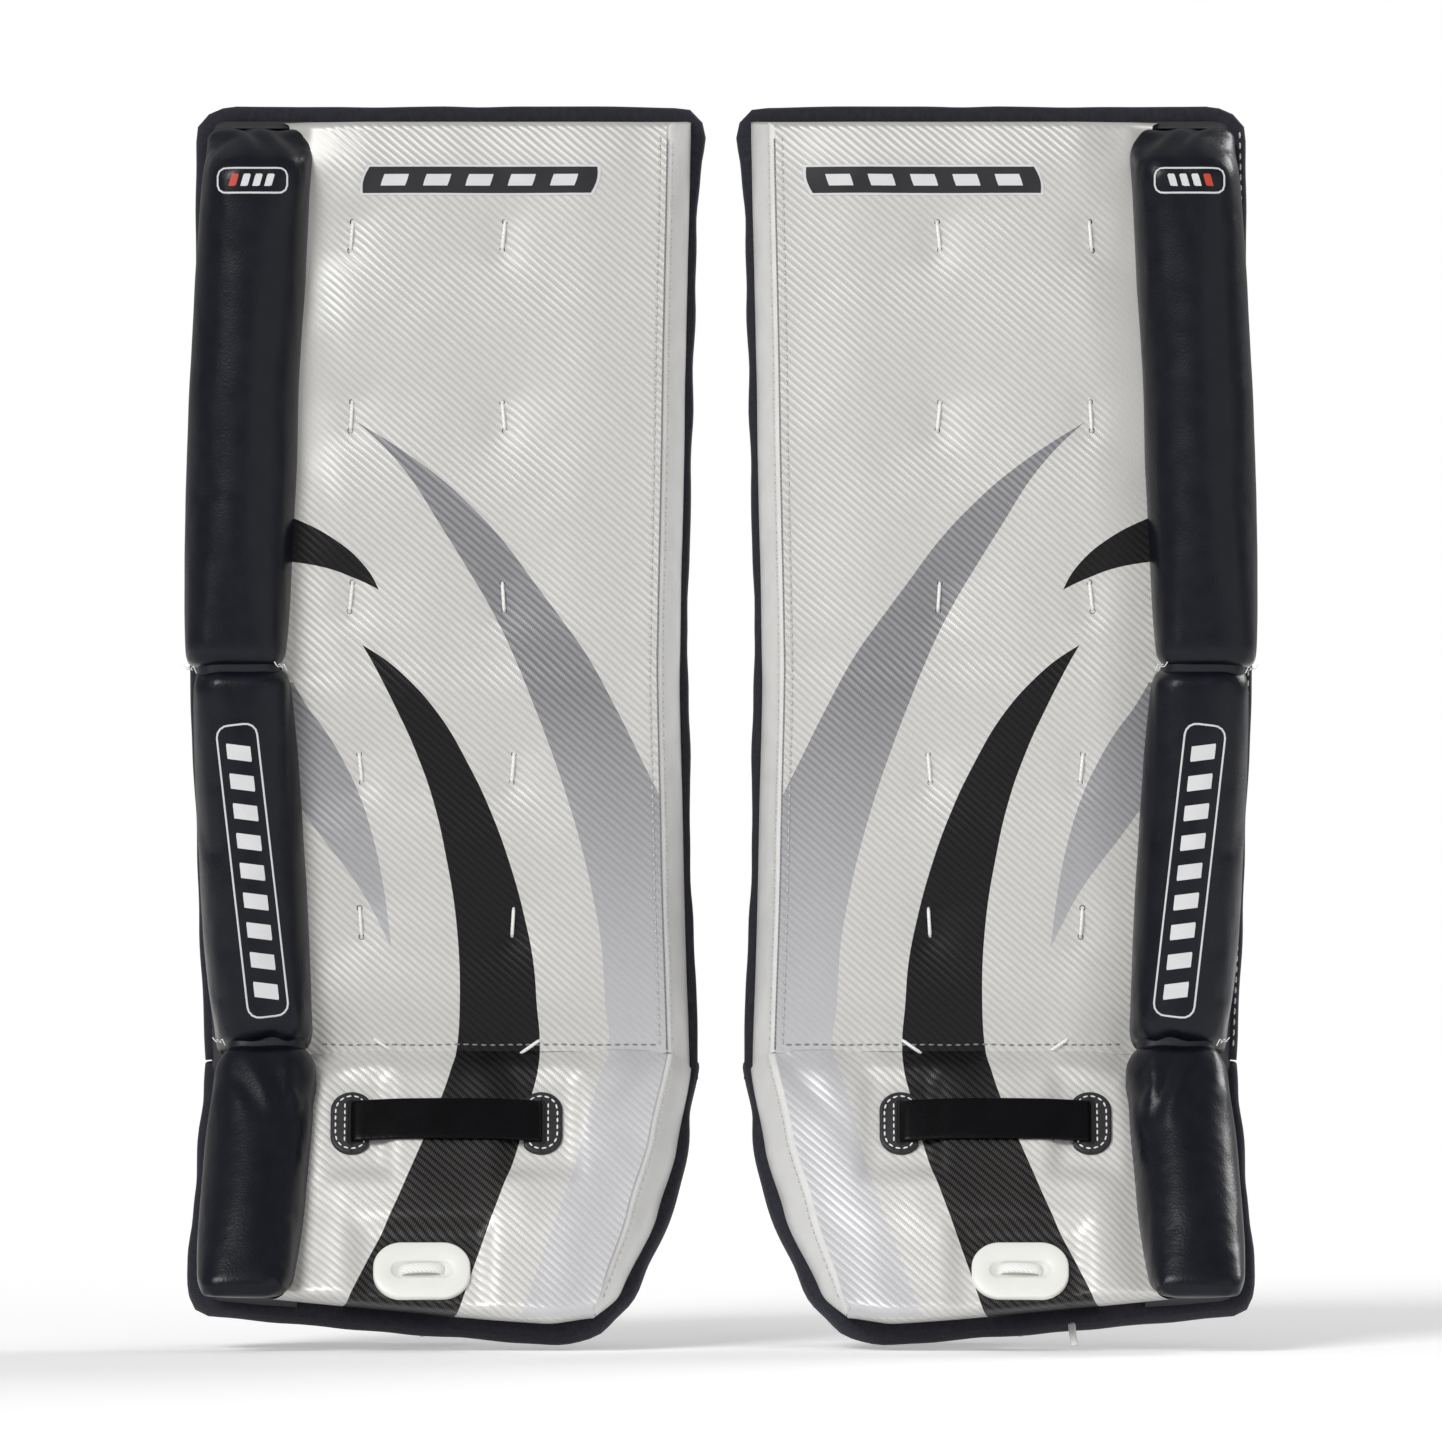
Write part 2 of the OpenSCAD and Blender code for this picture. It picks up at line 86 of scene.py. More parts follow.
CHANNEL_Y = -AXIS_Y / MM
tongue_axis = Vector(JOINTS["right_buckle_tongue_hinge"]["axis"])
SLOPE = atan2(-tongue_axis.y, -tongue_axis.z)
LEAN = radians(4)
MITRE = tan(SLOPE / 2)
Y_FACE = -30.0
TOP = 297.0


def to_row(p, side="right"):
    x = p[0] if side == "right" else SPACING - p[0]
    return Vector((x * MM, AXIS_Y + p[1] * MM, FLOOR + p[2] * MM))


def smooth(t):
    t = min(max(t, 0.0), 1.0)
    return t * t * (3 - 2 * t)


CURVE = 0.35  # how much of a ramp eases in and out of its points


def ramp(points, z):
    """Smooth curve through (z, value) pairs in rising z."""
    if z <= points[0][0]:
        return points[0][1]
    for (z0, v0), (z1, v1) in zip(points, points[1:]):
        if z <= z1:
            straight = (v1 - v0) * (z - z0) / (z1 - z0)
            return v0 + (v1 - v0) * smooth((z - z0) / (z1 - z0)) * CURVE + straight * (1 - CURVE)
    return points[-1][1]


def hinged(x, y, z, height, angle):
    """A point in the axes of a section that is turned about a break at this height."""
    c, s = cos(angle), sin(angle)
    return Vector((x, y * c + z * s, height - y * s + z * c))


def boot(x, y, z):
    return hinged(x, y, z, ANKLE_H, SLOPE)


def upper(x, y, z):
    """Shin and thigh as one sheet: z is the height with the thigh upright."""
    w = smooth((z - KNEE_H + 20) / 40)
    return Vector((x, y, z)).lerp(hinged(x, y, z - KNEE_H, KNEE_H, LEAN), w)


def boot_z(height, y=Y_FACE):
    """z in the boot's axes of a point at this height above the floor."""
    return (height - ANKLE_H + y * sin(SLOPE)) / cos(SLOPE)


def ankle_z(y):
    """Height on the shin of the mitre plane between shin and boot. The boot's own is y * MITRE."""
    return ANKLE_H - y * MITRE


# Edges of the upper pad as (z, x), and of the boot as (height, x)
SEAM = [(130, 118), (250, 114.5), (346, 112.5), (480, 115), (640, 118)]
REAR_MEDIAL = [(130, 133.5), (250, 130), (346, 127.8), (480, 130.5), (640, 134)]
REAR_LATERAL = [(130, -122), (250, -126.5), (346, -130.5), (480, -129), (640, -126.5)]
THIGH_ROLL = [(346, -106), (480, -102.5), (560, -98), (640, -92.5)]
SHIN_ROLL = [(130, -90), (250, -97.5), (346, -102.5)]
BOOT_ROLL = [(10, -100.5), (150, -90)]
BOOT_SEAM = [(11, 78), (26, 84), (68, 97.5), (105, 108.5), (150, 118)]
BOOT_REAR_MEDIAL = [(0, 68), (24, 97), (68, 116.5), (105, 126.5), (150, 134)]
BOOT_REAR_LATERAL = [(10, -128.5), (60, -126), (150, -121.5)]
ROLL_HALF = {"thigh": 26.5, "shin": 25.5, "boot": 25.0}
ROLL_FRONT = -51.0
ROLL_BACK = 3.0


def upper_roll_edge(z):
    side = THIGH_ROLL if z > KNEE_H else SHIN_ROLL
    return ramp(side, z) + ROLL_HALF["thigh" if z > KNEE_H else "shin"]


def wobble(x, y, z, size, seed=0.0):
    return noise.noise(Vector((x / size + seed, y / size, z / size)))


# ---------------------------------------------------------------- materials
class Value:
    """A shader value. Sums on it add Math nodes."""

    def __init__(self, surface, socket):
        self.surface, self.socket = surface, socket

    def math(self, operation, *others):
        return self.surface.value("Math", enumerate((self, *others)), operation=operation)

    def __add__(self, other):
        return self.math("ADD", other)

    def __sub__(self, other):
        return self.math("SUBTRACT", other)

    def __mul__(self, other):
        return self.math("MULTIPLY", other)


class Surface:
    """A material in the making. Constants such as Metallic=0.25 are set on its shader."""

    def __init__(self, name, **constants):
        self.material = bpy.data.materials.new(name)
        self.material.use_nodes = True
        tree = self.material.node_tree
        self.nodes, self.links = tree.nodes, tree.links
        self.shader = self.nodes["Principled BSDF"]
        for key, value in constants.items():
            self.shader.inputs[key.replace("_", " ")].default_value = value

    def plug(self, socket, value):
        if isinstance(value, Value):
            self.links.new(value.socket, socket)
        elif socket.type == "RGBA":
            socket.default_value = (*value, 1)
        else:
            socket.default_value = value

    def node(self, kind, inputs=(), **props):
        made = self.nodes.new("ShaderNode" + kind)
        for key, value in props.items():
            setattr(made, key, value)
        for key, value in dict(inputs).items():
            self.plug(made.inputs[key], value)
        return made

    def value(self, kind, inputs=(), output=0, **props):
        return Value(self, self.node(kind, inputs, **props).outputs[output])

    def place(self, uv_name=None):
        """Place on the surface, in a uv layer or else in the object."""
        if uv_name:
            return self.value("UVMap", uv_map=uv_name)
        return self.value("TexCoord", output="Object")

    def xyz(self, vector):
        return [Value(self, out) for out in self.node("SeparateXYZ", {0: vector}).outputs]

    def noise(self, vector, scale, detail):
        return self.value("TexNoise", {"Vector": vector, "Scale": scale, "Detail": detail})

    def mix(self, factor, a, b):
        return self.value("Mix", {0: factor, 6: a, 7: b}, 2, data_type="RGBA")

    def fade(self, t, start, end, low=0.0, high=1.0, kind="LINEAR"):
        inputs = {0: t, 1: start, 2: end, 3: low, 4: high}
        return self.value("MapRange", inputs, interpolation_type=kind)

    def finish(self, colour, height, depth, strength, rough=None):
        """Connects colour, relief (depth in metres) and roughness, and returns the material."""
        self.plug(self.shader.inputs["Base Color"], colour)
        if rough:
            self.plug(self.shader.inputs["Roughness"], rough)
        relief = self.value("Bump", {"Height": height, "Distance": depth, "Strength": strength})
        self.plug(self.shader.inputs["Normal"], relief)
        return self.material


def edge_curve(m, t, knots, low, high):
    """x of an edge at height t, through (height, x) knots, between two heights in mm."""
    xs = [x for _, x in knots]
    x0, x1 = min(xs) - 1, max(xs) + 1
    n = m.node("FloatCurve")
    curve = n.mapping.curves[0]
    n.mapping.use_clip = False
    places = [((z - low) / (high - low), (x - x0) / (x1 - x0)) for z, x in sorted(knots)]
    while len(curve.points) < len(places):
        curve.points.new(0.5, 0.5)
    for point, place in zip(curve.points, places):
        point.location = place
        point.handle_type = "AUTO"
    n.mapping.update()
    m.plug(n.inputs["Value"], (t - low).math("DIVIDE", high - low))
    return Value(m, n.outputs[0]).math("MULTIPLY_ADD", x1 - x0, x0)


def band(m, x, z, left, right):
    """1 between the two edges, over the heights of their knots in mm. An edge of None is open."""
    heights = [h for edge in (left, right) if edge for h, _ in edge]
    low, high = min(heights), max(heights)
    inside = z.math("GREATER_THAN", low) * z.math("LESS_THAN", high)
    if left:
        inside *= x.math("GREATER_THAN", edge_curve(m, z, left, low, high))
    if right:
        inside *= x.math("LESS_THAN", edge_curve(m, z, right, low, high))
    return inside


# Curved graphics: outlines as (height, x) down each side
BLACK_BLADE_LEFT = [
    (358, -40), (344, -31.5), (324, -21), (304, -12), (280, -3.5), (255, 2.5), (208, 9.5), (173, 10.5),
    (151, 9), (139, 6), (124, 1), (98, -10), (64, -25), (37, -39), (8, -52)]
BLACK_BLADE_RIGHT = [
    (358, -40), (342, -17), (322, 1), (298, 15), (275, 26), (248, 36), (219, 44), (193, 49), (173, 50.5),
    (155, 52), (142, 51.5), (127, 48), (97, 40), (73, 31.5), (50, 22.5), (20, 12)]
GREY_BLADE_LEFT = [
    (474, -43), (447, -17), (419, 1), (399, 13.5), (378, 26), (356, 37), (331, 48), (302, 59), (275, 68),
    (250, 75), (230, 79.5), (204, 84), (173, 86), (151, 88), (135, 83), (106, 75), (82, 68), (52, 57),
    (13, 43)]
GREY_BLADE_RIGHT = [
    (474, -43), (447, -3), (432, 14), (413, 32), (389, 50), (370, 64), (349, 79), (327, 91.5), (302, 104),
    (278, 116), (260, 125)]
FANG_LEFT = [(401.5, -78), (398.5, -61), (393, -45), (386.5, -31.5)]
FANG_RIGHT = [(425, -78), (413, -55), (399, -39), (386.5, -31.5)]
SPIKE_LEFT = [(274, -71), (260, -61), (246, -50), (230, -39), (213, -30), (203, -25)]
SPIKE_RIGHT = [(340, -76), (327, -68), (315, -59), (300, -50), (282, -41.5), (262, -35), (240, -30),
               (203, -25)]


def graphics(m, x, z):
    """Where the black and the grey graphics are, as two values of 0 or 1."""
    black = band(m, x, z, BLACK_BLADE_LEFT, BLACK_BLADE_RIGHT)
    fang = band(m, x, z, None, FANG_RIGHT) - band(m, x, z, None, FANG_LEFT)
    beyond = z.math("GREATER_THAN", GREY_BLADE_RIGHT[-1][0]) - band(m, x, z, None, GREY_BLADE_RIGHT)
    grey = band(m, x, z, GREY_BLADE_LEFT, None) - beyond
    spike = band(m, x, z, None, SPIKE_RIGHT) - band(m, x, z, None, SPIKE_LEFT)
    return black.math("MAXIMUM", fang), grey.math("MAXIMUM", 0.0).math("MAXIMUM", spike)


TWILL_ANGLE = radians(41)
TWILL_PITCH, TWILL_THREAD = 3.3, 1.15


def twill(m):
    """Embossed diagonal ridges with short threads in them: (height 0..1, fine threads 0..1)."""
    u, v, _ = m.xyz(m.place("Twill"))
    s, c = sin(TWILL_ANGLE) / MM, cos(TWILL_ANGLE) / MM
    turns = (u * s + v * c) * (2 * pi / TWILL_PITCH)
    along = (u * c - v * s) * (2 * pi / TWILL_THREAD)
    ridge = turns.math("SINE") * 0.5 + 0.5
    thread = (along + turns * 0.9).math("SINE") * 0.5 + 0.5
    return ridge.math("POWER", 0.7), thread


def face_material():
    m = Surface("pearl_carbon_face", Metallic=0.25, Specular_IOR_Level=0.3)
    uv = m.place("Pad")
    u, v, _ = m.xyz(uv)
    x, z = u * 1000, v * 1000
    black, grey = graphics(m, x, z)
    ridge, thread = twill(m)
    # the emboss fades out in the valley beside the roll
    lower = m.fade(z, 470, 380, kind="SMOOTHSTEP")
    shown = m.fade(x, -70, -46, kind="SMOOTHSTEP").math("MAXIMUM", lower).math("MAXIMUM", 0.1)
    ridge = (ridge - 0.5) * shown + 0.5
    fleck = ridge * (thread * 0.5 + 0.5)
    cloud = m.noise(uv, 14, 3)
    pearl = m.mix(fleck, (0.50, 0.495, 0.48), (0.71, 0.705, 0.685))
    pearl = m.mix(cloud * 0.34, pearl, (0.58, 0.55, 0.51))
    silver = m.mix(m.fade(z, 140, 335), (0.53, 0.53, 0.54), (0.175, 0.175, 0.186))
    silver = m.mix(fleck * 0.38, silver, (0.60, 0.60, 0.615))
    # the black's twill threads, with a painted highlight on the boot's ribs that makes them brighter there
    thread_tone_and_painted_glint = m.mix(m.fade(z, 150, 105), (0.016, 0.015, 0.016), (0.085, 0.08, 0.076))
    carbon = m.mix(ridge * thread, (0.0025, 0.0025, 0.003), thread_tone_and_painted_glint)
    # painted light: the boot's face is painted paler, for the light that falls on its upturned face
    painted_boot_light = m.fade(z, 150, 110, 1, 1.16)
    pale = m.value("VectorMath", {0: m.mix(grey, pearl, silver), "Scale": painted_boot_light}, operation="SCALE")
    colour = m.mix(black, pale, carbon)
    # the boot's emboss is pulled flatter
    taut = m.fade(z, 170, 135, 1, 0.5)
    relief = (ridge * 0.7 + thread * (ridge * 0.35)) * taut
    return m.finish(colour, relief, 0.00035, 0.8, cloud * 0.18 + 0.29)


def leather_material(name, low, high, rough, scale, coat=0.0, uv_name=None, depth=0.00012, gloss=0.32):
    """Smooth leather: a grain of small cells, and a coarser noise in colour and roughness."""
    m = Surface(name, Specular_IOR_Level=gloss, Coat_Weight=coat, Coat_Roughness=0.3)
    place = m.place(uv_name)
    cells = m.value("TexVoronoi", {"Vector": place, "Scale": scale}, feature="SMOOTH_F1")
    folds = m.noise(place, scale * 0.12, 4)
    return m.finish(m.mix(folds, low, high), cells + folds * 0.8, depth, 0.7, folds * 0.18 + (rough - 0.09))


def woven_material(name, low, high, pitch, rough, uv_name=None, ribs=0.0, depth=0.00018):
    """Plain weave of the given pitch in mm; ribs makes lengthwise ribs, as on webbing."""
    m = Surface(name, Roughness=rough, Specular_IOR_Level=0.2, Sheen_Weight=0.08, Sheen_Roughness=0.5)
    place = m.place(uv_name)
    x, y, z = m.xyz(place)
    a, b = (x, y) if uv_name else (x + y, z)
    turn = 2 * pi / (pitch * MM)
    weave = (a * turn).math("SINE") * (b * (turn * (1 - ribs))).math("SINE") * 0.5 + 0.5
    fuzz = m.noise(place, 400, 5)
    colour = m.mix(fuzz * 0.6 + weave * 0.4, low, high)
    return m.finish(colour, weave + fuzz * 0.5, depth, 0.8)


def plain_material(name, low, high, rough, metal=0.0, scale=60, coat=0.0):
    """Moulded or plated surface with faint mottling and fine wear."""
    m = Surface(name, Metallic=metal, Coat_Weight=coat, Coat_Roughness=0.15)
    mottle, fine = m.noise(m.place(), scale, 6), m.noise(m.place(), scale * 25, 3)
    return m.finish(m.mix(mottle, low, high), fine, 0.00003, 0.5, mottle * 0.16 + (rough - 0.08))


def thread_material(name, colour, shade=0.62):
    """Twisted thread or lace: strands wind round it."""
    m = Surface(name, Roughness=0.6, Sheen_Weight=0.2)
    wave = {"Vector": m.place(), "Scale": 260, "Distortion": 1.5, "Detail": 2}
    strands = m.value("TexWave", wave, "Fac", bands_direction="DIAGONAL")
    dark = [shade * c for c in colour]
    return m.finish(m.mix(strands, dark, colour), strands, 0.00015, 0.7)


MAT = {
    "face": face_material(),
    "gusset": leather_material("pearl_gusset", (0.66, 0.655, 0.64), (0.79, 0.785, 0.77),
                               0.4, 700, 0.1, "Pad"),
    "roll": leather_material("black_roll_leather", (0.002, 0.0025, 0.0055), (0.006, 0.007, 0.0125), 0.32,
                             800, 0.04, gloss=0.24),
    "sleeve": leather_material("crease_leather", (0.005, 0.005, 0.008), (0.010, 0.011, 0.016), 0.5, 700,
                               uv_name="Pad"),
    "strap": leather_material("strap_leather", (0.0015, 0.0015, 0.002), (0.004, 0.004, 0.005), 0.28, 500,
                              depth=0.00008, gloss=0.12),
    "patch": leather_material("patch_leather", (0.012, 0.012, 0.014), (0.032, 0.032, 0.037), 0.45, 900, 0.05),
    "binding": woven_material("binding_tape", (0.003, 0.003, 0.006), (0.042, 0.043, 0.056), 1.3, 0.9, "Pad"),
    "nylon": woven_material("back_nylon", (0.014, 0.014, 0.017), (0.06, 0.06, 0.067), 1.0, 0.55, "Pad"),
    "mesh": woven_material("padding_mesh", (0.008, 0.008, 0.010), (0.075, 0.075, 0.082), 2.4, 0.8,
                           depth=0.0005),
    "wing": woven_material("wing_nylon", (0.007, 0.007, 0.009), (0.03, 0.03, 0.034), 1.1, 0.65),
    "webbing": woven_material("strap_webbing", (0.008, 0.008, 0.010), (0.035, 0.035, 0.04), 1.6, 0.7, "Pad",
                              0.5, 0.0004),
    "lace": thread_material("white_lace", (0.93, 0.93, 0.90), 0.84),
    "thread": thread_material("pale_thread", (0.62, 0.61, 0.58)),
    # grey thread for the ankle stitches, and the grey of the painted shadow in the seam's groove
    "grey_thread_and_groove_shade": thread_material("grey_thread_and_groove_shade", (0.26, 0.26, 0.27)),
    "dark_thread": thread_material("dark_thread", (0.05, 0.05, 0.055)),
    "plate": plain_material("white_plate", (0.80, 0.80, 0.76), (0.88, 0.875, 0.84), 0.38, 0, 40, 0.2),
    "clip": plain_material("clip_plastic", (0.008, 0.008, 0.008), (0.02, 0.02, 0.021), 0.42, 0, 90),
    "steel": plain_material("buckle_nickel", (0.55, 0.54, 0.52), (0.75, 0.74, 0.72), 0.25, 1, 120),
    # painted shade: dark discs and rims that stand in for the shade inside eyelets, slots and strap holes
    "hole": plain_material("eyelet_shadow", (0.004, 0.004, 0.004), (0.012, 0.012, 0.012), 0.9),
    "print_white": plain_material("printed_white", (0.55, 0.55, 0.56), (0.72, 0.72, 0.73), 0.5),
    "print_black": plain_material("printed_black", (0.006, 0.006, 0.008), (0.018, 0.018, 0.02), 0.4),
    "print_red": plain_material("printed_red", (0.42, 0.035, 0.015), (0.55, 0.05, 0.02), 0.5),
}


# ---------------------------------------------------------------- mesh helpers
class Shape:
    """Vertices in pad millimetres, faces, and one (u, v) in millimetres for each vertex."""

    def __init__(self):
        self.verts, self.faces, self.uv = [], [], []

    def add(self, verts, faces, uv=None):
        base = len(self.verts)
        self.verts += [Vector(v) for v in verts]
        self.faces += [tuple(base + i for i in f) for f in faces]
        self.uv += list(uv) if uv else [(v[0], v[2]) for v in self.verts[base:]]
        return self

    def fan(self, centre, ring):
        """Fills a ring of points from its centre."""
        n = len(ring)
        return self.add([centre] + ring, [(0, 1 + i, 1 + (i + 1) % n) for i in range(n)])


def grid_faces(nu, nv, wrap=False):
    count = nu if wrap else nu - 1
    return [(j * nu + i, j * nu + (i + 1) % nu, (j + 1) * nu + (i + 1) % nu, (j + 1) * nu + i)
            for j in range(nv - 1) for i in range(count)]


def column_faces(ring, count):
    """Faces of count rings, with a cap on each end."""
    ends = [tuple(range(ring))[::-1], tuple(range((count - 1) * ring, count * ring))]
    return grid_faces(ring, count, True) + ends


def sheet(nu, nv, place):
    """Grid of nu by nv points. place(a, b) with a and b from 0 to 1 gives the point and its uv."""
    spots = [place(i / (nu - 1), j / (nv - 1)) for j in range(nv) for i in range(nu)]
    return Shape().add([p for p, _ in spots], grid_faces(nu, nv), [uv for _, uv in spots])


def tube(path, section, up, closed=False, shape=None):
    """Sweeps a ring of (out, along_up) offsets down the path. section is the ring, or section(t)."""
    shape = shape or Shape()
    path = [Vector(p) for p in path]
    n = len(path)
    rings, run, uv = [], 0.0, []
    for k, p in enumerate(path):
        before = path[(k - 1) % n] if closed or k else p
        after = path[(k + 1) % n] if closed or k < n - 1 else p
        tangent = (after - before).normalized()
        out = tangent.cross(Vector(up)).normalized()
        axis = out.cross(tangent).normalized()
        ring = section(k / (n - 1)) if callable(section) else section
        rings += [p + out * a + axis * b for a, b in ring]
        run += (p - path[k - 1]).length if k else 0
        uv += [(run, i * 1.5) for i in range(len(ring))]
    m = len(ring)
    if not closed:
        return shape.add(rings, column_faces(m, n), uv)
    last = [((n - 1) * m + i, (n - 1) * m + (i + 1) % m, (i + 1) % m, i) for i in range(m)]
    return shape.add(rings, grid_faces(m, n, True) + last, uv)


def oval(a, b, count=12, power=2.0):
    """Ring of a superellipse with half sizes a and b."""
    turns = [2 * pi * i / count for i in range(count)]
    return [(a * copysign(abs(cos(q)) ** (2 / power), cos(q)),
             b * copysign(abs(sin(q)) ** (2 / power), sin(q)))
            for q in turns]


def resample(points, step):
    """Points a step apart along a polyline."""
    points = [Vector(p) for p in points]
    lengths = [(b - a).length for a, b in zip(points, points[1:])]
    total = sum(lengths)
    count = max(int(round(total / step)), 1)
    found, k, done = [], 0, 0.0
    for i in range(count + 1):
        want = total * i / count
        while k < len(lengths) - 1 and done + lengths[k] < want:
            done += lengths[k]
            k += 1
        found.append(points[k].lerp(points[k + 1], (want - done) / max(lengths[k], 1e-9)))
    return found


# Half section of a stitch: (along, share of the radius), and the turns round it
STITCH_RING = [(-0.5, 0.25), (-0.32, 0.85), (0, 1.0), (0.32, 0.85), (0.5, 0.25)]
STITCH_TURNS = (0, pi / 3, 2 * pi / 3, pi, 1.5 * pi)


def stitches(points, out, pitch, length, radius, shape=None):
    """Dashes of thread along a polyline. out is the surface's normal, or out(point)."""
    shape = shape or Shape()
    spots = resample(points, pitch)
    for a, b in zip(spots, spots[1:]):
        way = (b - a).normalized()
        normal = Vector(out(a) if callable(out) else out).normalized()
        across = way.cross(normal).normalized()
        verts = [(a + b) / 2 + way * along * length + (across * cos(q) + normal * sin(q)) * radius * r
                 for along, r in STITCH_RING for q in STITCH_TURNS]
        shape.add(verts, column_faces(5, 5))
    return shape


def emit(name, shape, material, body=None, slot=None, replaces=(), blend=None, padded=None,
         sides=SIDES, flip=False):
    """Makes the piece on each pad, and fixes it to its body; a piece with a blend is left unparented in
    place.
    """
    for side in sides:
        mirrored = side == "left"
        mesh = bpy.data.meshes.new(f"{side}_{name}")
        faces = [f[::-1] if mirrored != flip else f for f in shape.faces]
        mesh.from_pydata([to_row(v, side) for v in shape.verts], [], faces)
        for layer_name, sign in (("Pad", 1), ("Twill", -1 if mirrored else 1)):
            layer = mesh.uv_layers.new(name=layer_name)
            spots = (shape.uv[loop.vertex_index] for loop in mesh.loops)
            layer.data.foreach_set("uv", [c for u, v in spots for c in (sign * u * MM, v * MM)])
        mesh.materials.append(MAT[material])
        mesh.polygons.foreach_set("use_smooth", [True] * len(mesh.polygons))
        obj = bpy.data.objects.new(f"{side}_{name}", mesh)
        bpy.context.scene.collection.objects.link(obj)
        if blend:
            a, b, start, end = blend
            to_row(start, side)
            to_row(end, side)
            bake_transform(obj)
        else:
            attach(obj, f"{side}_{body}")
        if replaces:
            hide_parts(*[f"{side}_{n}" for n in replaces])


# Everything that crosses a break is given the same stretch about it.
KNEE_BLEND = ("shin", "thigh", Vector((0, 0, KNEE_H - 26)), Vector((0, 0, KNEE_H + 26)))
MITRE_NORMAL = Vector((0, MITRE, 1)).normalized()
ANKLE_BLEND = ("shin", "boot", Vector((0, 0, ANKLE_H)), Vector((0, 0, ANKLE_H)) - 30 * MITRE_NORMAL)


def work_object(verts, faces):
    mesh = bpy.data.meshes.new("work")
    mesh.from_pydata(verts, [], faces)
    obj = bpy.data.objects.new("work", mesh)
    bpy.context.scene.collection.objects.link(obj)
    return obj


def evaluated_mesh(obj):
    graph = bpy.context.evaluated_depsgraph_get()
    return bpy.data.meshes.new_from_object(obj.evaluated_get(graph))


def subdivide(obj):
    """Adds one smooth subdivision and turns the object into a Shape, which removes the object."""
    modifier = obj.modifiers.new("subdivision", "SUBSURF")
    modifier.levels = modifier.render_levels = 1
    modifier.boundary_smooth = "PRESERVE_CORNERS"
    mesh = evaluated_mesh(obj)
    uv = [(0.0, 0.0)] * len(mesh.vertices)
    if mesh.uv_layers:
        for loop in mesh.loops:
            uv[loop.vertex_index] = tuple(mesh.uv_layers[0].data[loop.index].uv)
    shape = Shape().add([v.co.copy() for v in mesh.vertices], [tuple(p.vertices) for p in mesh.polygons], uv)
    bpy.data.objects.remove(obj)
    bpy.data.meshes.remove(mesh)
    return shape


def subdivided(shape):
    """The shape after one smooth subdivision, with its uv."""
    obj = work_object(shape.verts, shape.faces)
    layer = obj.data.uv_layers.new(name="Pad")
    for loop in obj.data.loops:
        layer.data[loop.index].uv = shape.uv[loop.vertex_index]
    return subdivide(obj)


CLOTH_PRESSURE, CLOTH_QUALITY, CLOTH_FRAMES = 4.0, 4, 20


def inflate(shape, voxel, cap):
    """Swells a closed shape as a stuffed cloth: remesh, cloth pressure, capped, one subdivision."""
    obj = work_object([v * MM for v in shape.verts], shape.faces)
    remesh = obj.modifiers.new("remesh", "REMESH")
    remesh.mode = "VOXEL"
    remesh.voxel_size = voxel * MM
    base = evaluated_mesh(obj)
    obj.modifiers.remove(remesh)
    obj.data = base
    rest = [v.co.copy() for v in base.vertices]
    cloth = obj.modifiers.new("cloth", "CLOTH")
    cloth.settings.use_pressure = True
    cloth.settings.uniform_pressure_force = CLOTH_PRESSURE
    cloth.settings.effector_weights.gravity = 0
    cloth.settings.quality = CLOTH_QUALITY
    cloth.point_cache.frame_start, cloth.point_cache.frame_end = 1, CLOTH_FRAMES
    for f in range(1, CLOTH_FRAMES + 1):
        bpy.context.scene.frame_set(f)
    swollen = evaluated_mesh(obj)
    obj.modifiers.remove(cloth)
    bpy.context.scene.frame_set(1)
    for vertex, start, end in zip(base.vertices, rest, swollen.vertices):
        shift = end.co - start
        if shift.length > cap * MM:
            shift = shift.normalized() * cap * MM
        vertex.co = start + shift
    result = subdivide(obj)
    result.verts = [v / MM for v in result.verts]
    result.uv = [(v[0], v[2]) for v in result.verts]
    return result


# ---------------------------------------------------------------- camera, light and floor
SPAN = 748.0  # millimetres across the view at the face
VIEW_CENTRE = Vector((SPACING / 2, Y_FACE, 320.5))
DISTANCE = 9.0
FILM = 36

camera_data = bpy.data.cameras.new("camera")
camera_data.sensor_width = FILM
camera_data.lens = FILM * DISTANCE / (SPAN * MM)
camera = bpy.data.objects.new("camera", camera_data)
camera.location = to_row(VIEW_CENTRE) - Vector((0, DISTANCE, 0))
camera.rotation_euler = (radians(90), 0, 0)
bpy.context.scene.collection.objects.link(camera)
bpy.context.scene.camera = camera
bpy.context.scene.view_settings.view_transform = "Standard"

# The sky is white to the camera, and gives this share of its light to the pads
SKY_LIGHT = 0.3
world = bpy.data.worlds.new("studio")
world.use_nodes = True
nodes, links = world.node_tree.nodes, world.node_tree.links
nodes["Background"].inputs[0].default_value = (1, 1, 1, 1)
strength = nodes.new("ShaderNodeMath")
strength.operation = "MULTIPLY_ADD"
links.new(nodes.new("ShaderNodeLightPath").outputs["Is Camera Ray"], strength.inputs[0])
strength.inputs[1].default_value = 1 - SKY_LIGHT
strength.inputs[2].default_value = SKY_LIGHT
links.new(strength.outputs[0], nodes["Background"].inputs[1])
bpy.context.scene.world = world


def soft_sun(name, way, angle, strength):
    """Wide soft light that shines from the direction way."""
    data = bpy.data.lights.new(name, "SUN")
    data.angle = radians(angle)
    data.energy = strength
    light = bpy.data.objects.new(name, data)
    light.rotation_euler = Vector(way).to_track_quat("Z", "Y").to_euler()
    bpy.context.scene.collection.objects.link(light)


soft_sun("key", (-1.0, -1.5, 1.25), 24, 1.85)
soft_sun("fill", (1.4, -1.6, 0.35), 60, 0.45)
soft_sun("back", (1.6, 1.5, 1.2), 30, 1.5)

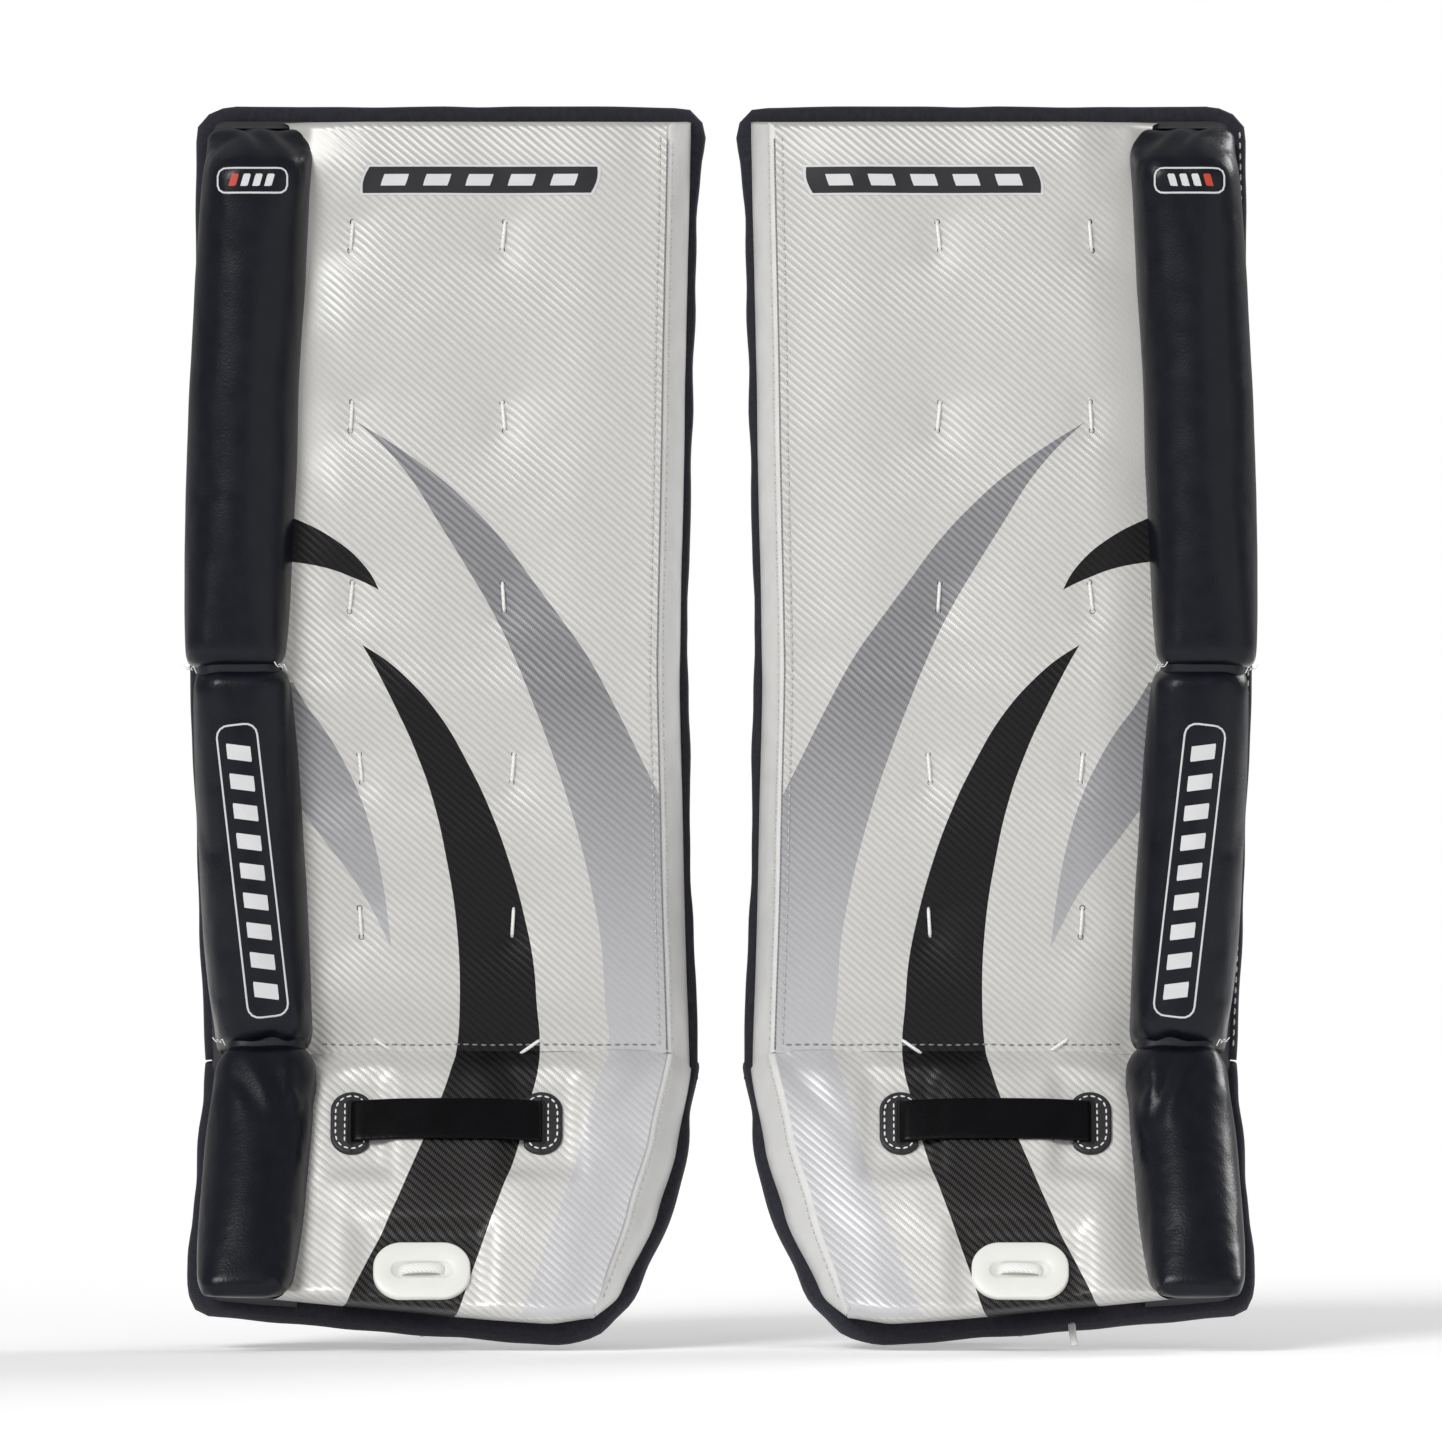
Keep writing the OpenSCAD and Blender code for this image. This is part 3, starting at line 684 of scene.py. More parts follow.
FLOOR_HALF, FLOOR_DROP = 8.0, 0.004
white = plain_material("floor_white", (0.90, 0.90, 0.90), (0.92, 0.92, 0.92), 0.7, scale=3)
for key, value in (("Emission Color", (1, 1, 1, 1)), ("Emission Strength", 0.22),
                   ("Specular IOR Level", 0.1)):
    white.node_tree.nodes["Principled BSDF"].inputs[key].default_value = value
floor_mesh = bpy.data.meshes.new("floor")
corners = [(x * FLOOR_HALF, y * FLOOR_HALF, FLOOR - FLOOR_DROP)
           for x, y in ((-1, -1), (1, -1), (1, 1), (-1, 1))]
floor_mesh.from_pydata(corners, [], [(0, 1, 2, 3)])
floor_mesh.materials.append(white)
floor = bpy.data.objects.new("floor", floor_mesh)
bpy.context.scene.collection.objects.link(floor)
floor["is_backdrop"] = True


# ---------------------------------------------------------------- face covers
TIE_HALF = 7.5
THIGH_TIES = [(x, KNEE_H + z) for z in (37, 131, 225) for x in (-46, 33)]
SHIN_TIES = [(x, z) for z in (216, 296) for x in (-41, 38)]
TIES = THIGH_TIES + SHIN_TIES
FACE_TOP = KNEE_H + TOP - 13
WRAP_Y = 12.0


def hump(away, width):
    """1 at 0, falling off to each side."""
    return exp(-(away / width) ** 2)


def arch(t):
    """0 at 0 and 1, and 1 in the middle."""
    return sin(pi * t)


def dimple(x, z):
    """How far lace ties pull the face in, in mm."""
    pull = 0.0
    for tx, tz in TIES:
        dz = max(abs(z - tz) - TIE_HALF, 0)
        near = (x - tx) ** 2 / 90 + dz ** 2 / 60
        wide = (x - tx) ** 2 / 1100 + dz ** 2 / 700
        pull += 2.2 * exp(-near) + 2.9 * exp(-wide)
    return pull


def upper_face_y(x, z):
    """Depth of the upper face: proud in the middle, down beside the roll and at the ankle seam."""
    edge, seam, from_ankle = upper_roll_edge(z), ramp(SEAM, z), z - ankle_z(Y_FACE)
    rise = 5.5 * smooth((x - edge) / 30) + 3.2 * smooth((seam - x) / 48) - 3.6
    rise -= dimple(x, z)
    rise -= 4.6 * hump(from_ankle, 18) + 4.0 * hump(z - FACE_TOP, 15)
    rise += 1.3 * hump(from_ankle, 22) * wobble(x, 5, z * 0.4, 14)
    rise -= 1.2 * hump(z - KNEE_H - 4, 10)
    rise += 0.9 * wobble(x, 0, z, 55) + 0.35 * wobble(x, 3, z, 17)
    return Y_FACE + 1.0 - rise


def gusset_edge(z, a):
    """x of the gusset's middle surface, a of the way from the seam to the back."""
    seam, rear = ramp(SEAM, z), ramp(REAR_MEDIAL, z) - 3
    return seam + (rear - seam) * a + 2.6 * arch(a)


def upper_face_point(a, b):
    """The face from the ankle up. Its top turns back over the core, and laps onto the gusset."""
    wrap = 0.06
    bottom = ankle_z(Y_FACE)
    z = bottom + (FACE_TOP - bottom) * min(b / (1 - wrap), 1.0)
    over = max(b - (1 - wrap), 0) / wrap
    near_top = smooth((z - FACE_TOP + 36) / 36)
    left, right = upper_roll_edge(z) - 4 - 8 * near_top - 6 * over, ramp(SEAM, z)
    right += (gusset_edge(z, over) + 1.0 - right) * min(over * 10, 1)
    x = left + (right - left) * a
    y = upper_face_y(x, z) + 0.9 * near_top * max(upper_roll_edge(z) - x, 0)
    z_wrap = z + 4 * sin(over * pi / 2) - (y - Y_FACE + 3) * MITRE * max(1 - (z - bottom) / 20, 0)
    return upper(x, y + (WRAP_Y - y) * over, z_wrap), (x, z_wrap + 20 * over)


emit("face_cover", subdivided(sheet(52, 132, upper_face_point)), "face", slot="pearl_face", blend=KNEE_BLEND,
     replaces=("thigh_face", "shin_face", "thigh_core", "shin_core", "thigh_roll_foam", "shin_roll_foam"),
     padded=0.7)

# Boot strap patches (one each side) and toe plate, as x and height; the fittings are flat on the face
PATCH_X = (-45, 53)
STRAP_H, PLATE_X, PLATE_H = 112, -8, 37
STRAP_Z, PLATE_Z = boot_z(STRAP_H), boot_z(PLATE_H)
FITTINGS = [(x, STRAP_H, 14, 21) for x in PATCH_X] + [(PLATE_X, PLATE_H, 29, 18)]


def boot_bottom(x):
    """Height of the boot's bottom front edge."""
    return ramp([(-126, 29), (58, 14), (80, 17)], x)


def boot_face_y(x, h):
    """Depth of the boot's face, at a height above the floor."""
    edge, seam = ramp(BOOT_ROLL, h) + ROLL_HALF["boot"], ramp(BOOT_SEAM, h)
    rise = 5.5 * smooth((x - edge) / 24) + 1.6 * smooth((seam - x) / 26) - 3.2
    below = h - ankle_z(Y_FACE)
    rise -= 3.8 * hump(below, 7)
    rise += 1.3 * hump(below, 20) * wobble(x, 5, h * 0.4, 14)
    # a fold that runs down and in from the medial end of the ankle seam
    beside = (x - 118) * 0.753 - below * 0.657
    along = -(x - 118) * 0.657 - below * 0.753
    rise -= 1.8 * exp(-(beside / 4.5) ** 2 - (max(along, 0) / 48) ** 2)
    rise += 2.2 * hump(h - 78, 30) * hump(x - 20, 60)
    rise += 0.9 * wobble(x, 7, h, 45) + 0.4 * wobble(x, 9, h, 15)
    for fx, fh, half_x, half_h in FITTINGS:
        away = max(abs(x - fx) - half_x, abs(h - fh) - half_h, 0)
        rise = 0.8 + (rise - 0.8) * smooth(away / 10)
    return Y_FACE + 1.0 - rise


def boot_face_point(a, b):
    """The boot's face from the ankle seam down. Its bottom turns back under the core."""
    wrap = 0.08
    down = min(b / (1 - wrap), 1.0)
    over = max(b - (1 - wrap), 0) / wrap
    crease = ankle_z(Y_FACE)
    x, h = 0.0, crease
    for _ in range(3):
        left, right = ramp(BOOT_ROLL, h) + ROLL_HALF["boot"] - 4 - 10 * over, ramp(BOOT_SEAM, h)
        right += (ramp(BOOT_REAR_MEDIAL, 11) - 2.6 - right) * over + 1.6 * min(over * 5, 1)
        x = left + (right - left) * a
        h = crease + (boot_bottom(x) - crease) * down
    y = boot_face_y(x, h)
    z = boot_z(h, Y_FACE) + (y - Y_FACE) * MITRE * (1 - down)
    if over:
        y += (WRAP_Y - y) * over
        z = boot_z(h - 5 * sin(over * pi / 2), y)
    return boot(x, y, z), (x, h - 12 * over)


emit("boot_face_cover", subdivided(sheet(52, 44, boot_face_point)), "face", slot="pearl_face",
     blend=ANKLE_BLEND, padded=0.7, replaces=("boot_face", "boot_core", "boot_roll_foam"), flip=True)


# ---------------------------------------------------------------- medial gussets
GUSSET_BACK = 11.0


def seam_ridge(a):
    """The folded edge of the gusset, which stands up beside the seam's groove."""
    return 1.5 * hump(a - 0.11, 0.06) - 0.8 * hump(a, 0.03)


def clipped(a):
    """How far the gusset's front corner is cut back, under the face's turned edge."""
    return 2.6 * max(1 - a / 0.11, 0)


def gusset_point(a, b):
    """a goes from the seam to the back, b from the ankle to the top."""
    z = ankle_z(Y_FACE) + (FACE_TOP - ankle_z(Y_FACE)) * b
    seam, rear = ramp(SEAM, z), ramp(REAR_MEDIAL, z) - 3
    y = upper_face_y(seam, z) + (GUSSET_BACK - upper_face_y(seam, z)) * a
    belly = 2.6 * arch(a) + 0.7 * wobble(seam, a * 40, z, 30, 5) * arch(a)
    ridge = seam_ridge(a)
    x = seam + (rear - seam) * a + belly + 0.5 * ridge
    top = FACE_TOP + 4 * sin(a * pi / 2) - 0.5 * clipped(a)
    z_mitre = ankle_z(y) + (top - ankle_z(y)) * b
    return upper(x, y - ridge, z_mitre), (x + y * 0.5, z)


emit("gusset", subdivided(sheet(26, 110, gusset_point)), "gusset", slot="pearl_face", blend=KNEE_BLEND)


def boot_gusset_point(a, b):
    """a goes from the seam to the back, b from the ankle down."""
    crease, bottom = ankle_z(Y_FACE), boot_bottom(80)
    h = crease + (bottom - crease) * b
    seam, rear = ramp(BOOT_SEAM, h), ramp(BOOT_REAR_MEDIAL, h - 6 * a * b) - 3
    front = boot_face_y(seam, h)
    y = front + (GUSSET_BACK - front) * a
    flat = smooth((1 - b) / 0.16)
    ridge = seam_ridge(a) * flat
    belly = flat * (2.6 + 0.7 * wobble(seam, a * 40, h, 25, 2)) * arch(a) + 0.5 * ridge
    z_top, z_low = y * MITRE, boot_z(bottom - 6 * a + clipped(a), y)
    point = boot(seam + (rear - seam) * a + belly, y - ridge, z_top + (z_low - z_top) * b)
    return point, (seam + y * 0.5, h)


emit("boot_gusset", subdivided(sheet(26, 40, boot_gusset_point)), "gusset", slot="pearl_face",
     blend=ANKLE_BLEND, flip=True)


# ---------------------------------------------------------------- outer rolls
ROLL_SECTION_POINTS, ROLL_SQUARENESS, ROLL_ROUNDING = 44, 4.2, 6


def roll_ring(centre, half, front, back):
    """Section of a roll as (x, y) points: round corners, slightly crowned sides."""
    ring = oval(half, (back - front) / 2, ROLL_SECTION_POINTS, ROLL_SQUARENESS)
    return [(centre + u, (front + back) / 2 + v) for u, v in ring]


def roll_shape(axis, half, low, high, place, tucked=False):
    """Padded column between two heights. A tucked top slopes back, other ends round over."""
    count = int((high - low) / 5.0)
    verts, uv = [], []
    for k in range(count + 1):
        t = k / count
        z = low + (high - low) * t
        front, slim = ROLL_FRONT, 0.0
        if tucked:
            sunk = 1 - smooth((high - z) / 30)
            front += 34 * sunk ** 1.6
            slim = -3.0 * sunk
        for gap in (z - low,) if tucked else (high - z, z - low):
            if gap < ROLL_ROUNDING:
                left_over = 1 - gap / ROLL_ROUNDING
                round_in = ROLL_ROUNDING * (1 - sqrt(max(1 - left_over ** 2, 0)))
                front += round_in * 0.9
                slim += round_in * 0.3
        ring = roll_ring(ramp(axis, z), half - slim, front, ROLL_BACK - slim)
        verts += [place(x, y, z, t) for x, y in ring]
        uv += [(i * 4.5, z) for i in range(len(ring))]
    return Shape().add(verts, column_faces(ROLL_SECTION_POINTS, count + 1), uv)


def crumple(shape, amount, seed, fold_z=None):
    """Soft dents along the vertices' own normals, with slanted folds near the height fold_z."""
    mesh = bpy.data.meshes.new("work")
    mesh.from_pydata(shape.verts, [], shape.faces)
    mesh.update()
    for i, v in enumerate(mesh.vertices):
        x, y, z = v.co
        dent = wobble(x, y, z, 46, seed) + 0.3 * wobble(x, y, z, 21, seed + 9)
        if fold_z is not None:
            waves = x * 0.8 + y * 0.3 + 8 * wobble(x, y, z, 30, seed)
            dent += 1.5 * hump(z - fold_z, 16) * sin(waves / 2.6)
        shape.verts[i] = v.co + v.normal * amount * dent
    bpy.data.meshes.remove(mesh)
    return shape


def mapped(shape, place):
    shape.verts = [place(*v) for v in shape.verts]
    return shape


def shin_roll_place(x, y, z, t):
    """The low end follows the ankle's mitre."""
    low = ankle_z(y) + 0.5
    return Vector((x, y, low + (KNEE_H - 0.5 - low) * t))


def boot_roll_place(x, y, z, t):
    """The top end follows the ankle's mitre, the low end is level."""
    top, low = y * MITRE - 0.5, boot_z(25, y)
    return boot(x, y, low + (top - low) * t)


thigh_roll = roll_shape(THIGH_ROLL, 26.0, KNEE_H + 0.5, KNEE_H + 283, lambda x, y, z, t: (x, y, z), True)
shin_roll = roll_shape(SHIN_ROLL, 25.0, 150, KNEE_H - 0.5, shin_roll_place)
boot_roll = roll_shape(BOOT_ROLL, 24.8, 25, 152, boot_roll_place)
rolls = {}
for name, shape, seed, fold_z, blend in (("thigh", thigh_roll, 1, KNEE_H + 276, KNEE_BLEND),
                                         ("shin", shin_roll, 4, 158, KNEE_BLEND),
                                         ("boot", boot_roll, 8, ANKLE_H - 8, ANKLE_BLEND)):
    rolls[name] = crumple(inflate(shape, 5.0, 3.0), 0.6, seed, fold_z)
    if name != "boot":
        mapped(rolls[name], upper)
    emit(f"{name}_roll", rolls[name], "roll", slot="roll_leather", blend=blend,
         replaces=(f"{name}_roll_cover",), padded=0.9)


def sleeve(axis, half, low, high, place):
    """Dark lining inside the crease between two rolls."""
    levels = [low + (high - low) * k / 12 for k in range(13)]
    verts = [place(x, y, z) for z in levels for x, y in roll_ring(axis, half, ROLL_FRONT + 5, ROLL_BACK - 2)]
    return Shape().add(verts, grid_faces(ROLL_SECTION_POINTS, 13, True))


def ankle_place(x, y, along):
    """A point this far above (shin) or below (boot) the ankle's mitre plane."""
    return Vector((x, y, ankle_z(y) + along)) if along > 0 else boot(x, y, y * MITRE + along)


emit("knee_crease", sleeve(-104, 21.5, KNEE_H - 16, KNEE_H + 16, upper), "sleeve", slot="roll_leather",
     blend=KNEE_BLEND)
emit("ankle_crease", sleeve(-90, 20.5, -16, 16, ankle_place), "sleeve", slot="roll_leather",
     blend=ANKLE_BLEND)


# ---------------------------------------------------------------- bindings, skirts and back cloth
RIM_Y = 14.0
TOP_Z = KNEE_H + TOP


def rounded(points, radius, step):
    """Polyline with its corners rounded, as points a step apart."""
    points = [Vector(p) for p in points]
    path = [points[0]]
    for before, corner, after in zip(points, points[1:], points[2:]):
        to_a, to_b = before - corner, after - corner
        cut = min(radius, to_a.length * 0.45, to_b.length * 0.45)
        p, q = corner + to_a.normalized() * cut, corner + to_b.normalized() * cut
        path += [p * (1 - t) ** 2 + corner * 2 * t * (1 - t) + q * t * t for t in (i / 6 for i in range(7))]
    return resample(path + [points[-1]], step)


def ripple(path, amount, size, seed):
    return [p + Vector((amount * wobble(p.x, seed, p.z, size), 0.5 * amount * wobble(p.z, seed, p.x, size),
                        amount * wobble(p.z, p.x, seed, size))) for p in path]


def binding(name, path, wide, place, blend):
    """Felt-like folded tape round a back panel. wide(t) is half its width in the plane of the pad."""
    piece = tube(path, lambda t: oval(wide(t), 6.8, 14, 3.0), (0, 1, 0))
    emit(name, mapped(piece, place), "binding", slot="back_panel", blend=blend)


def upper_rim_width(t):
    return 3.2 + 2.3 * smooth((t - 0.36) / 0.05) - 0.9 * smooth((t - 0.62) / 0.05)


def boot_rim_width(t):
    return (3.2 + 1.6 * smooth((t - 0.04) / 0.08) + 1.4 * smooth((t - 0.3) / 0.08)
            - 1.6 * smooth((t - 0.78) / 0.08))


# Both rims run from the medial side round the end to the lateral side
upper_rim = [(ramp(REAR_MEDIAL, z) - 2.5 + 1.6 * wobble(0, 0, z, 70, 3), RIM_Y, z)
             for z in range(134, 630, 16)]
upper_rim += [(x, RIM_Y, TOP_Z - down) for x, down in ((133.5, 16), (130, 6), (60, 5), (-40, 6), (-112, 5),
                                                       (-122, 10))]
upper_rim += [(ramp(REAR_LATERAL, z) + 4, RIM_Y, z) for z in range(624, 133, -16)]
binding("upper_binding", ripple(rounded(upper_rim, 8, 6), 0.8, 26, 3), upper_rim_width, upper, KNEE_BLEND)

boot_rim = [(ramp(BOOT_REAR_MEDIAL, h) - 3 + 3.6 * smooth((136 - h) / 44), h)
            for h in (136, 120, 104, 88, 72, 56, 40, 26, 15)]
boot_rim += [(81, 8), (66, 4.8), (20, 8), (-40, 12.5), (-90, 17), (-122, 20), (-125, 30)]
boot_rim += [(ramp(BOOT_REAR_LATERAL, h) + 3, h) for h in (46, 70, 94, 118, 137)]
boot_rim = [(x, RIM_Y, boot_z(h, RIM_Y)) for x, h in boot_rim]
for end in (0, -1):
    boot_rim[end] = (upper_rim[end][0], RIM_Y, RIM_Y * MITRE + 3)
binding("boot_binding", ripple(rounded(boot_rim, 9, 5), 1.1, 24, 8), boot_rim_width, boot, ANKLE_BLEND)

SKIRT_BACK, SKIRT_FRONT = 12.0, -3.0


def skirt(outer, inner, place):
    """Strip from the roll's back edge (inner) out to the binding (outer), both paths of (x, z)."""
    def spot(a, b):
        k = b * (len(outer) - 1)
        i = min(int(k), len(outer) - 2)
        end = Vector(outer[i]).lerp(Vector(outer[i + 1]), k - i)
        x, z = Vector(inner[i]).lerp(Vector(inner[i + 1]), k - i).lerp(end, smooth(a))
        y = SKIRT_FRONT + (SKIRT_BACK - SKIRT_FRONT) * a
        x -= 1.2 * arch(a) + 0.5 * wobble(x, y, z, 20, 4) * arch(a)
        return place(x, y, z), (a * 20, z)
    return subdivided(sheet(6, 4 * len(outer), spot))


def boot_skirt_place(x, y, h):
    return boot(x, y, min(boot_z(h, y), y * MITRE))


levels = range(138, 626, 12)
skirt_out = [(ramp(REAR_LATERAL, z) + 3, z) for z in levels] + [(x, TOP_Z - 7) for x in (-118, -90, -66)]
skirt_in = [(ramp(THIGH_ROLL if z > KNEE_H else SHIN_ROLL, z) - 21, z) for z in levels]
skirt_in += [(x, TOP_Z - 13) for x in (-112, -90, -66)]
emit("lateral_skirt", skirt(skirt_out, skirt_in, upper), "nylon", slot="back_panel", blend=KNEE_BLEND)
levels = (150, 138, 120, 96, 72, 48, 30)
skirt_out = [(ramp(BOOT_REAR_LATERAL, h) + 3, h) for h in levels] + [(-116, 20), (-95, 18), (-72, 16)]
skirt_in = [(ramp(BOOT_ROLL, h) - 20, h) for h in levels] + [(-110, 24), (-95, 23), (-72, 22)]
emit("boot_skirt", skirt(skirt_out, skirt_in, boot_skirt_place), "nylon", slot="back_panel",
     blend=ANKLE_BLEND, flip=True)

QUILT_PITCH, CORNER_R = 38.0, 11.0


def quilted_y(x, z):
    """Depth of the quilted back: 0 on the stitch lines of its diamonds, puffed in their middles."""
    p, q = sin(pi * (x + z) / QUILT_PITCH), sin(pi * (x - z) / QUILT_PITCH)
    return 17.4 + 2.9 * (abs(p) * abs(q)) ** 0.45 + 0.3 * wobble(x, 2, z, 30)


def upper_back_point(a, b):
    low, high = ankle_z(20), TOP_Z - 5
    z = low + (high - low) * b
    over = min(max(z - (high - CORNER_R), 0), CORNER_R)
    inset = 4 + CORNER_R - sqrt(CORNER_R ** 2 - over * over)
    left, right = ramp(REAR_LATERAL, z) + inset, ramp(REAR_MEDIAL, z) - inset
    x = left + (right - left) * a
    return upper(x, quilted_y(x, z), z), (x, z)


emit("back_cloth", sheet(118, 226, upper_back_point), "nylon", slot="back_panel", blend=KNEE_BLEND,
     replaces=("thigh_back", "shin_back"), flip=True)

BOOT_OUTLINE_BOTTOM = [(-129, 18), (62, 2), (84, 7), (100, 24)]
BOOT_BACK_TOP = 135.7


def boot_back_point(a, b):
    h, x = 0.0, 0.0
    for _ in range(3):
        h = BOOT_BACK_TOP + (ramp(BOOT_OUTLINE_BOTTOM, x) + 4 - BOOT_BACK_TOP) * b
        left, right = ramp(BOOT_REAR_LATERAL, h) + 4, ramp(BOOT_REAR_MEDIAL, h) - 4
        x = left + (right - left) * a
    y = quilted_y(x, h)
    top, low = y * MITRE, boot_z(ramp(BOOT_OUTLINE_BOTTOM, x) + 4, y)
    return boot(x, y, top + (low - top) * b), (x, h)


emit("boot_back_cloth", sheet(118, 70, boot_back_point), "nylon", slot="back_panel", blend=ANKLE_BLEND,
     replaces=("boot_back",))


# ---------------------------------------------------------------- seams, stitches and ties
FRONT, BACK, UP = (0, -1, 0), (0, 1, 0), (0, 0, 1)
SEAM_THREAD = (4.4, 2.8, 0.55)  # pitch, length and radius of a stitch
SEAM_OUT = Vector((0.45, -0.9, 0))
STITCH_A = 0.13  # how far from the gusset's front edge to its back edge the row runs


def turned(v):
    """A direction in the boot's own axes."""
    return boot(*v) - boot(0, 0, 0)


def on_face(x, z, out):
    """A point this far out from the upper face."""
    return upper(x, upper_face_y(x, z) - out, z)


def gusset_spot(z):
    return gusset_point(STITCH_A, (z - ankle_z(Y_FACE)) / (FACE_TOP - ankle_z(Y_FACE)))[0]


SEAM_Z = range(150, 630, 8)
# painted shadow: a grey line laid in the seam's groove stands in for the shade that falls there
groove = [upper(ramp(SEAM, z) + 0.2, upper_face_y(ramp(SEAM, z), z) + 0.6, z) for z in SEAM_Z]
emit("seam_groove_shade", tube(groove, oval(0.7, 0.7, 8), BACK), "grey_thread_and_groove_shade", blend=KNEE_BLEND)
seam_rows = stitches([gusset_spot(z) for z in range(156, 628, 8)], SEAM_OUT, *SEAM_THREAD)
stitches([on_face(ramp(SEAM, z) - 3.4, z, 0.3) for z in range(152, 628, 8)], FRONT, *SEAM_THREAD, seam_rows)
emit("seam_stitches", seam_rows, "thread", blend=KNEE_BLEND)
boot_row = [boot_gusset_point(STITCH_A, b / 20)[0] for b in range(1, 20)]
emit("boot_seam_stitches", stitches(boot_row, turned(SEAM_OUT), *SEAM_THREAD), "thread", blend=ANKLE_BLEND)
seam_z = ankle_z(Y_FACE) + 2.6
ankle_row = [(x, upper_face_y(x, seam_z) - 0.2, seam_z + 0.5 * wobble(x, 0, 0, 18))
             for x in range(-62, 118, 5)]
emit("ankle_stitches", stitches(ankle_row, FRONT, 4.6, 3.0, 0.5), "grey_thread_and_groove_shade", body="shin")

LACE_SECTION, EYELET_R = oval(1.15, 0.9, 8), 1.35
TIE_SLANTS = (1.6, -1.0, 0.9, -1.5, 1.3)
tie_strands, eyelets = Shape(), Shape()
for k, (x, z) in enumerate(TIES):
    slant = TIE_SLANTS[k % len(TIE_SLANTS)]
    path = []
    for t in (i / 8 for i in range(9)):
        px, pz = x + slant * (t - 0.5), z + 2 * TIE_HALF * (t - 0.5)
        path.append(on_face(px, pz, 1.9 * sin(pi * t) ** 0.6 - 0.7))
    tube(path, LACE_SECTION, (1, 0, 0), shape=tie_strands)
    for end in (-0.5, 0.5):
        ex, ez = x + slant * end, z + 2 * TIE_HALF * end
        y = upper_face_y(ex, ez)
        # painted shade: a dark rim and disc for the shade inside the eyelet
        ring = [upper(ex + cx, y - 0.05, ez + cz) for cx, cz in oval(EYELET_R, EYELET_R, 12)]
        tube(ring, oval(0.3, 0.3, 6), BACK, closed=True, shape=eyelets)
        eyelets.fan(upper(ex, y + 0.1, ez), ring)
emit("lace_ties", tie_strands, "lace", slot="white_lace", blend=KNEE_BLEND,
     replaces=("thigh_ties", "shin_ties"))
emit("tie_eyelets", eyelets, "hole", blend=KNEE_BLEND)

tufts = Shape()
for x, y, z in ((-129, -40, KNEE_H), (-82, -44, KNEE_H + 1), (-114, -42, ankle_z(-42) + 1)):
    for k in range(4):
        lean = 2.2 * (k - 1.5)
        path = [(x, y, z), (x + lean * 0.5, y - 1.6, z + 1.2 * (k % 2)),
                (x + lean, y - 2.2 - 0.4 * k, z + 2.2 - 1.4 * k)]
        tube([upper(*p) for p in path], oval(0.28, 0.28, 5), (0, 1, 0.1), shape=tufts)
emit("thread_ends", tufts, "lace", blend=KNEE_BLEND)

ankle_ties = Shape()
for start, end in (((-34, 155.5), (-25, 149.5)), ((42, 148), (52, 155))):
    path = []
    for t in (i / 6 for i in range(7)):
        x, z = Vector(start).lerp(Vector(end), t)
        path.append((x, upper_face_y(x, z) - 1.6 * arch(t) + 0.5, z))
    tube(path, oval(1.1, 0.9, 8), UP, shape=ankle_ties)
emit("ankle_ties", ankle_ties, "lace", slot="white_lace", body="shin")

edge_row = [upper(ramp(REAR_LATERAL, z) + 2, 5.5, z) for z in range(150, 632, 8)]
emit("edge_stitches", stitches(edge_row, (-0.8, -0.6, 0), 5.5, 3.4, 0.6), "thread", blend=KNEE_BLEND,
     sides=("left",))


# ---------------------------------------------------------------- boot strap, patches and toe plate
BOOT_FRONT, BOOT_BACK = turned(FRONT), turned(BACK)


def rounded_rectangle(w, h, r, count=12, x=0.0, z=0.0):
    """Closed outline of (x, z) about a centre, counter-clockwise from the right."""
    ring = []
    for cx, cz, start in ((1, 1, 0), (-1, 1, 90), (-1, -1, 180), (1, -1, 270)):
        for q in (radians(start + 90 * i / (count - 1)) for i in range(count)):
            ring.append((x + (cx * (w / 2 - r) + r * cos(q)), z + (cz * (h / 2 - r) + r * sin(q))))
    return ring


def stack(rings, place, flip=False):
    """Skin over rings of (x, y, z) that have equal counts, closed at the last one."""
    m, count = len(rings[0]), len(rings)
    verts = [place(*p) for ring in rings for p in ring]
    verts.append(place(*(sum((Vector(p) for p in rings[-1]), Vector()) / m)))
    base = (count - 1) * m
    faces = grid_faces(m, count, True) + [(base + i, base + (i + 1) % m, len(verts) - 1) for i in range(m)]
    return Shape().add(verts, [f[::-1] for f in faces] if flip else faces)


PATCH_TALL, PATCH_HALF, PATCH_FLAT = 37, 11, 9
PATCH_LAYERS = [(0, -29.6), (0, -31.2), (-0.4, -31.7), (-1.2, -31.9), (-3.2, -31.6), (-5, -31.9)]
PATCH_Y = PATCH_LAYERS[-1][1]


def patch_ring(k, grow, y):
    """Outline of a half-moon patch, grown by this much. Its straight side faces the other patch."""
    w, h = 2 * (PATCH_HALF + grow), PATCH_TALL + 2 * grow
    inner = PATCH_FLAT + grow
    return [(PATCH_X[k] + (max(x, -inner) if k else min(x, inner)), y, STRAP_Z + z)
            for x, z in rounded_rectangle(w, h, PATCH_HALF + grow)]


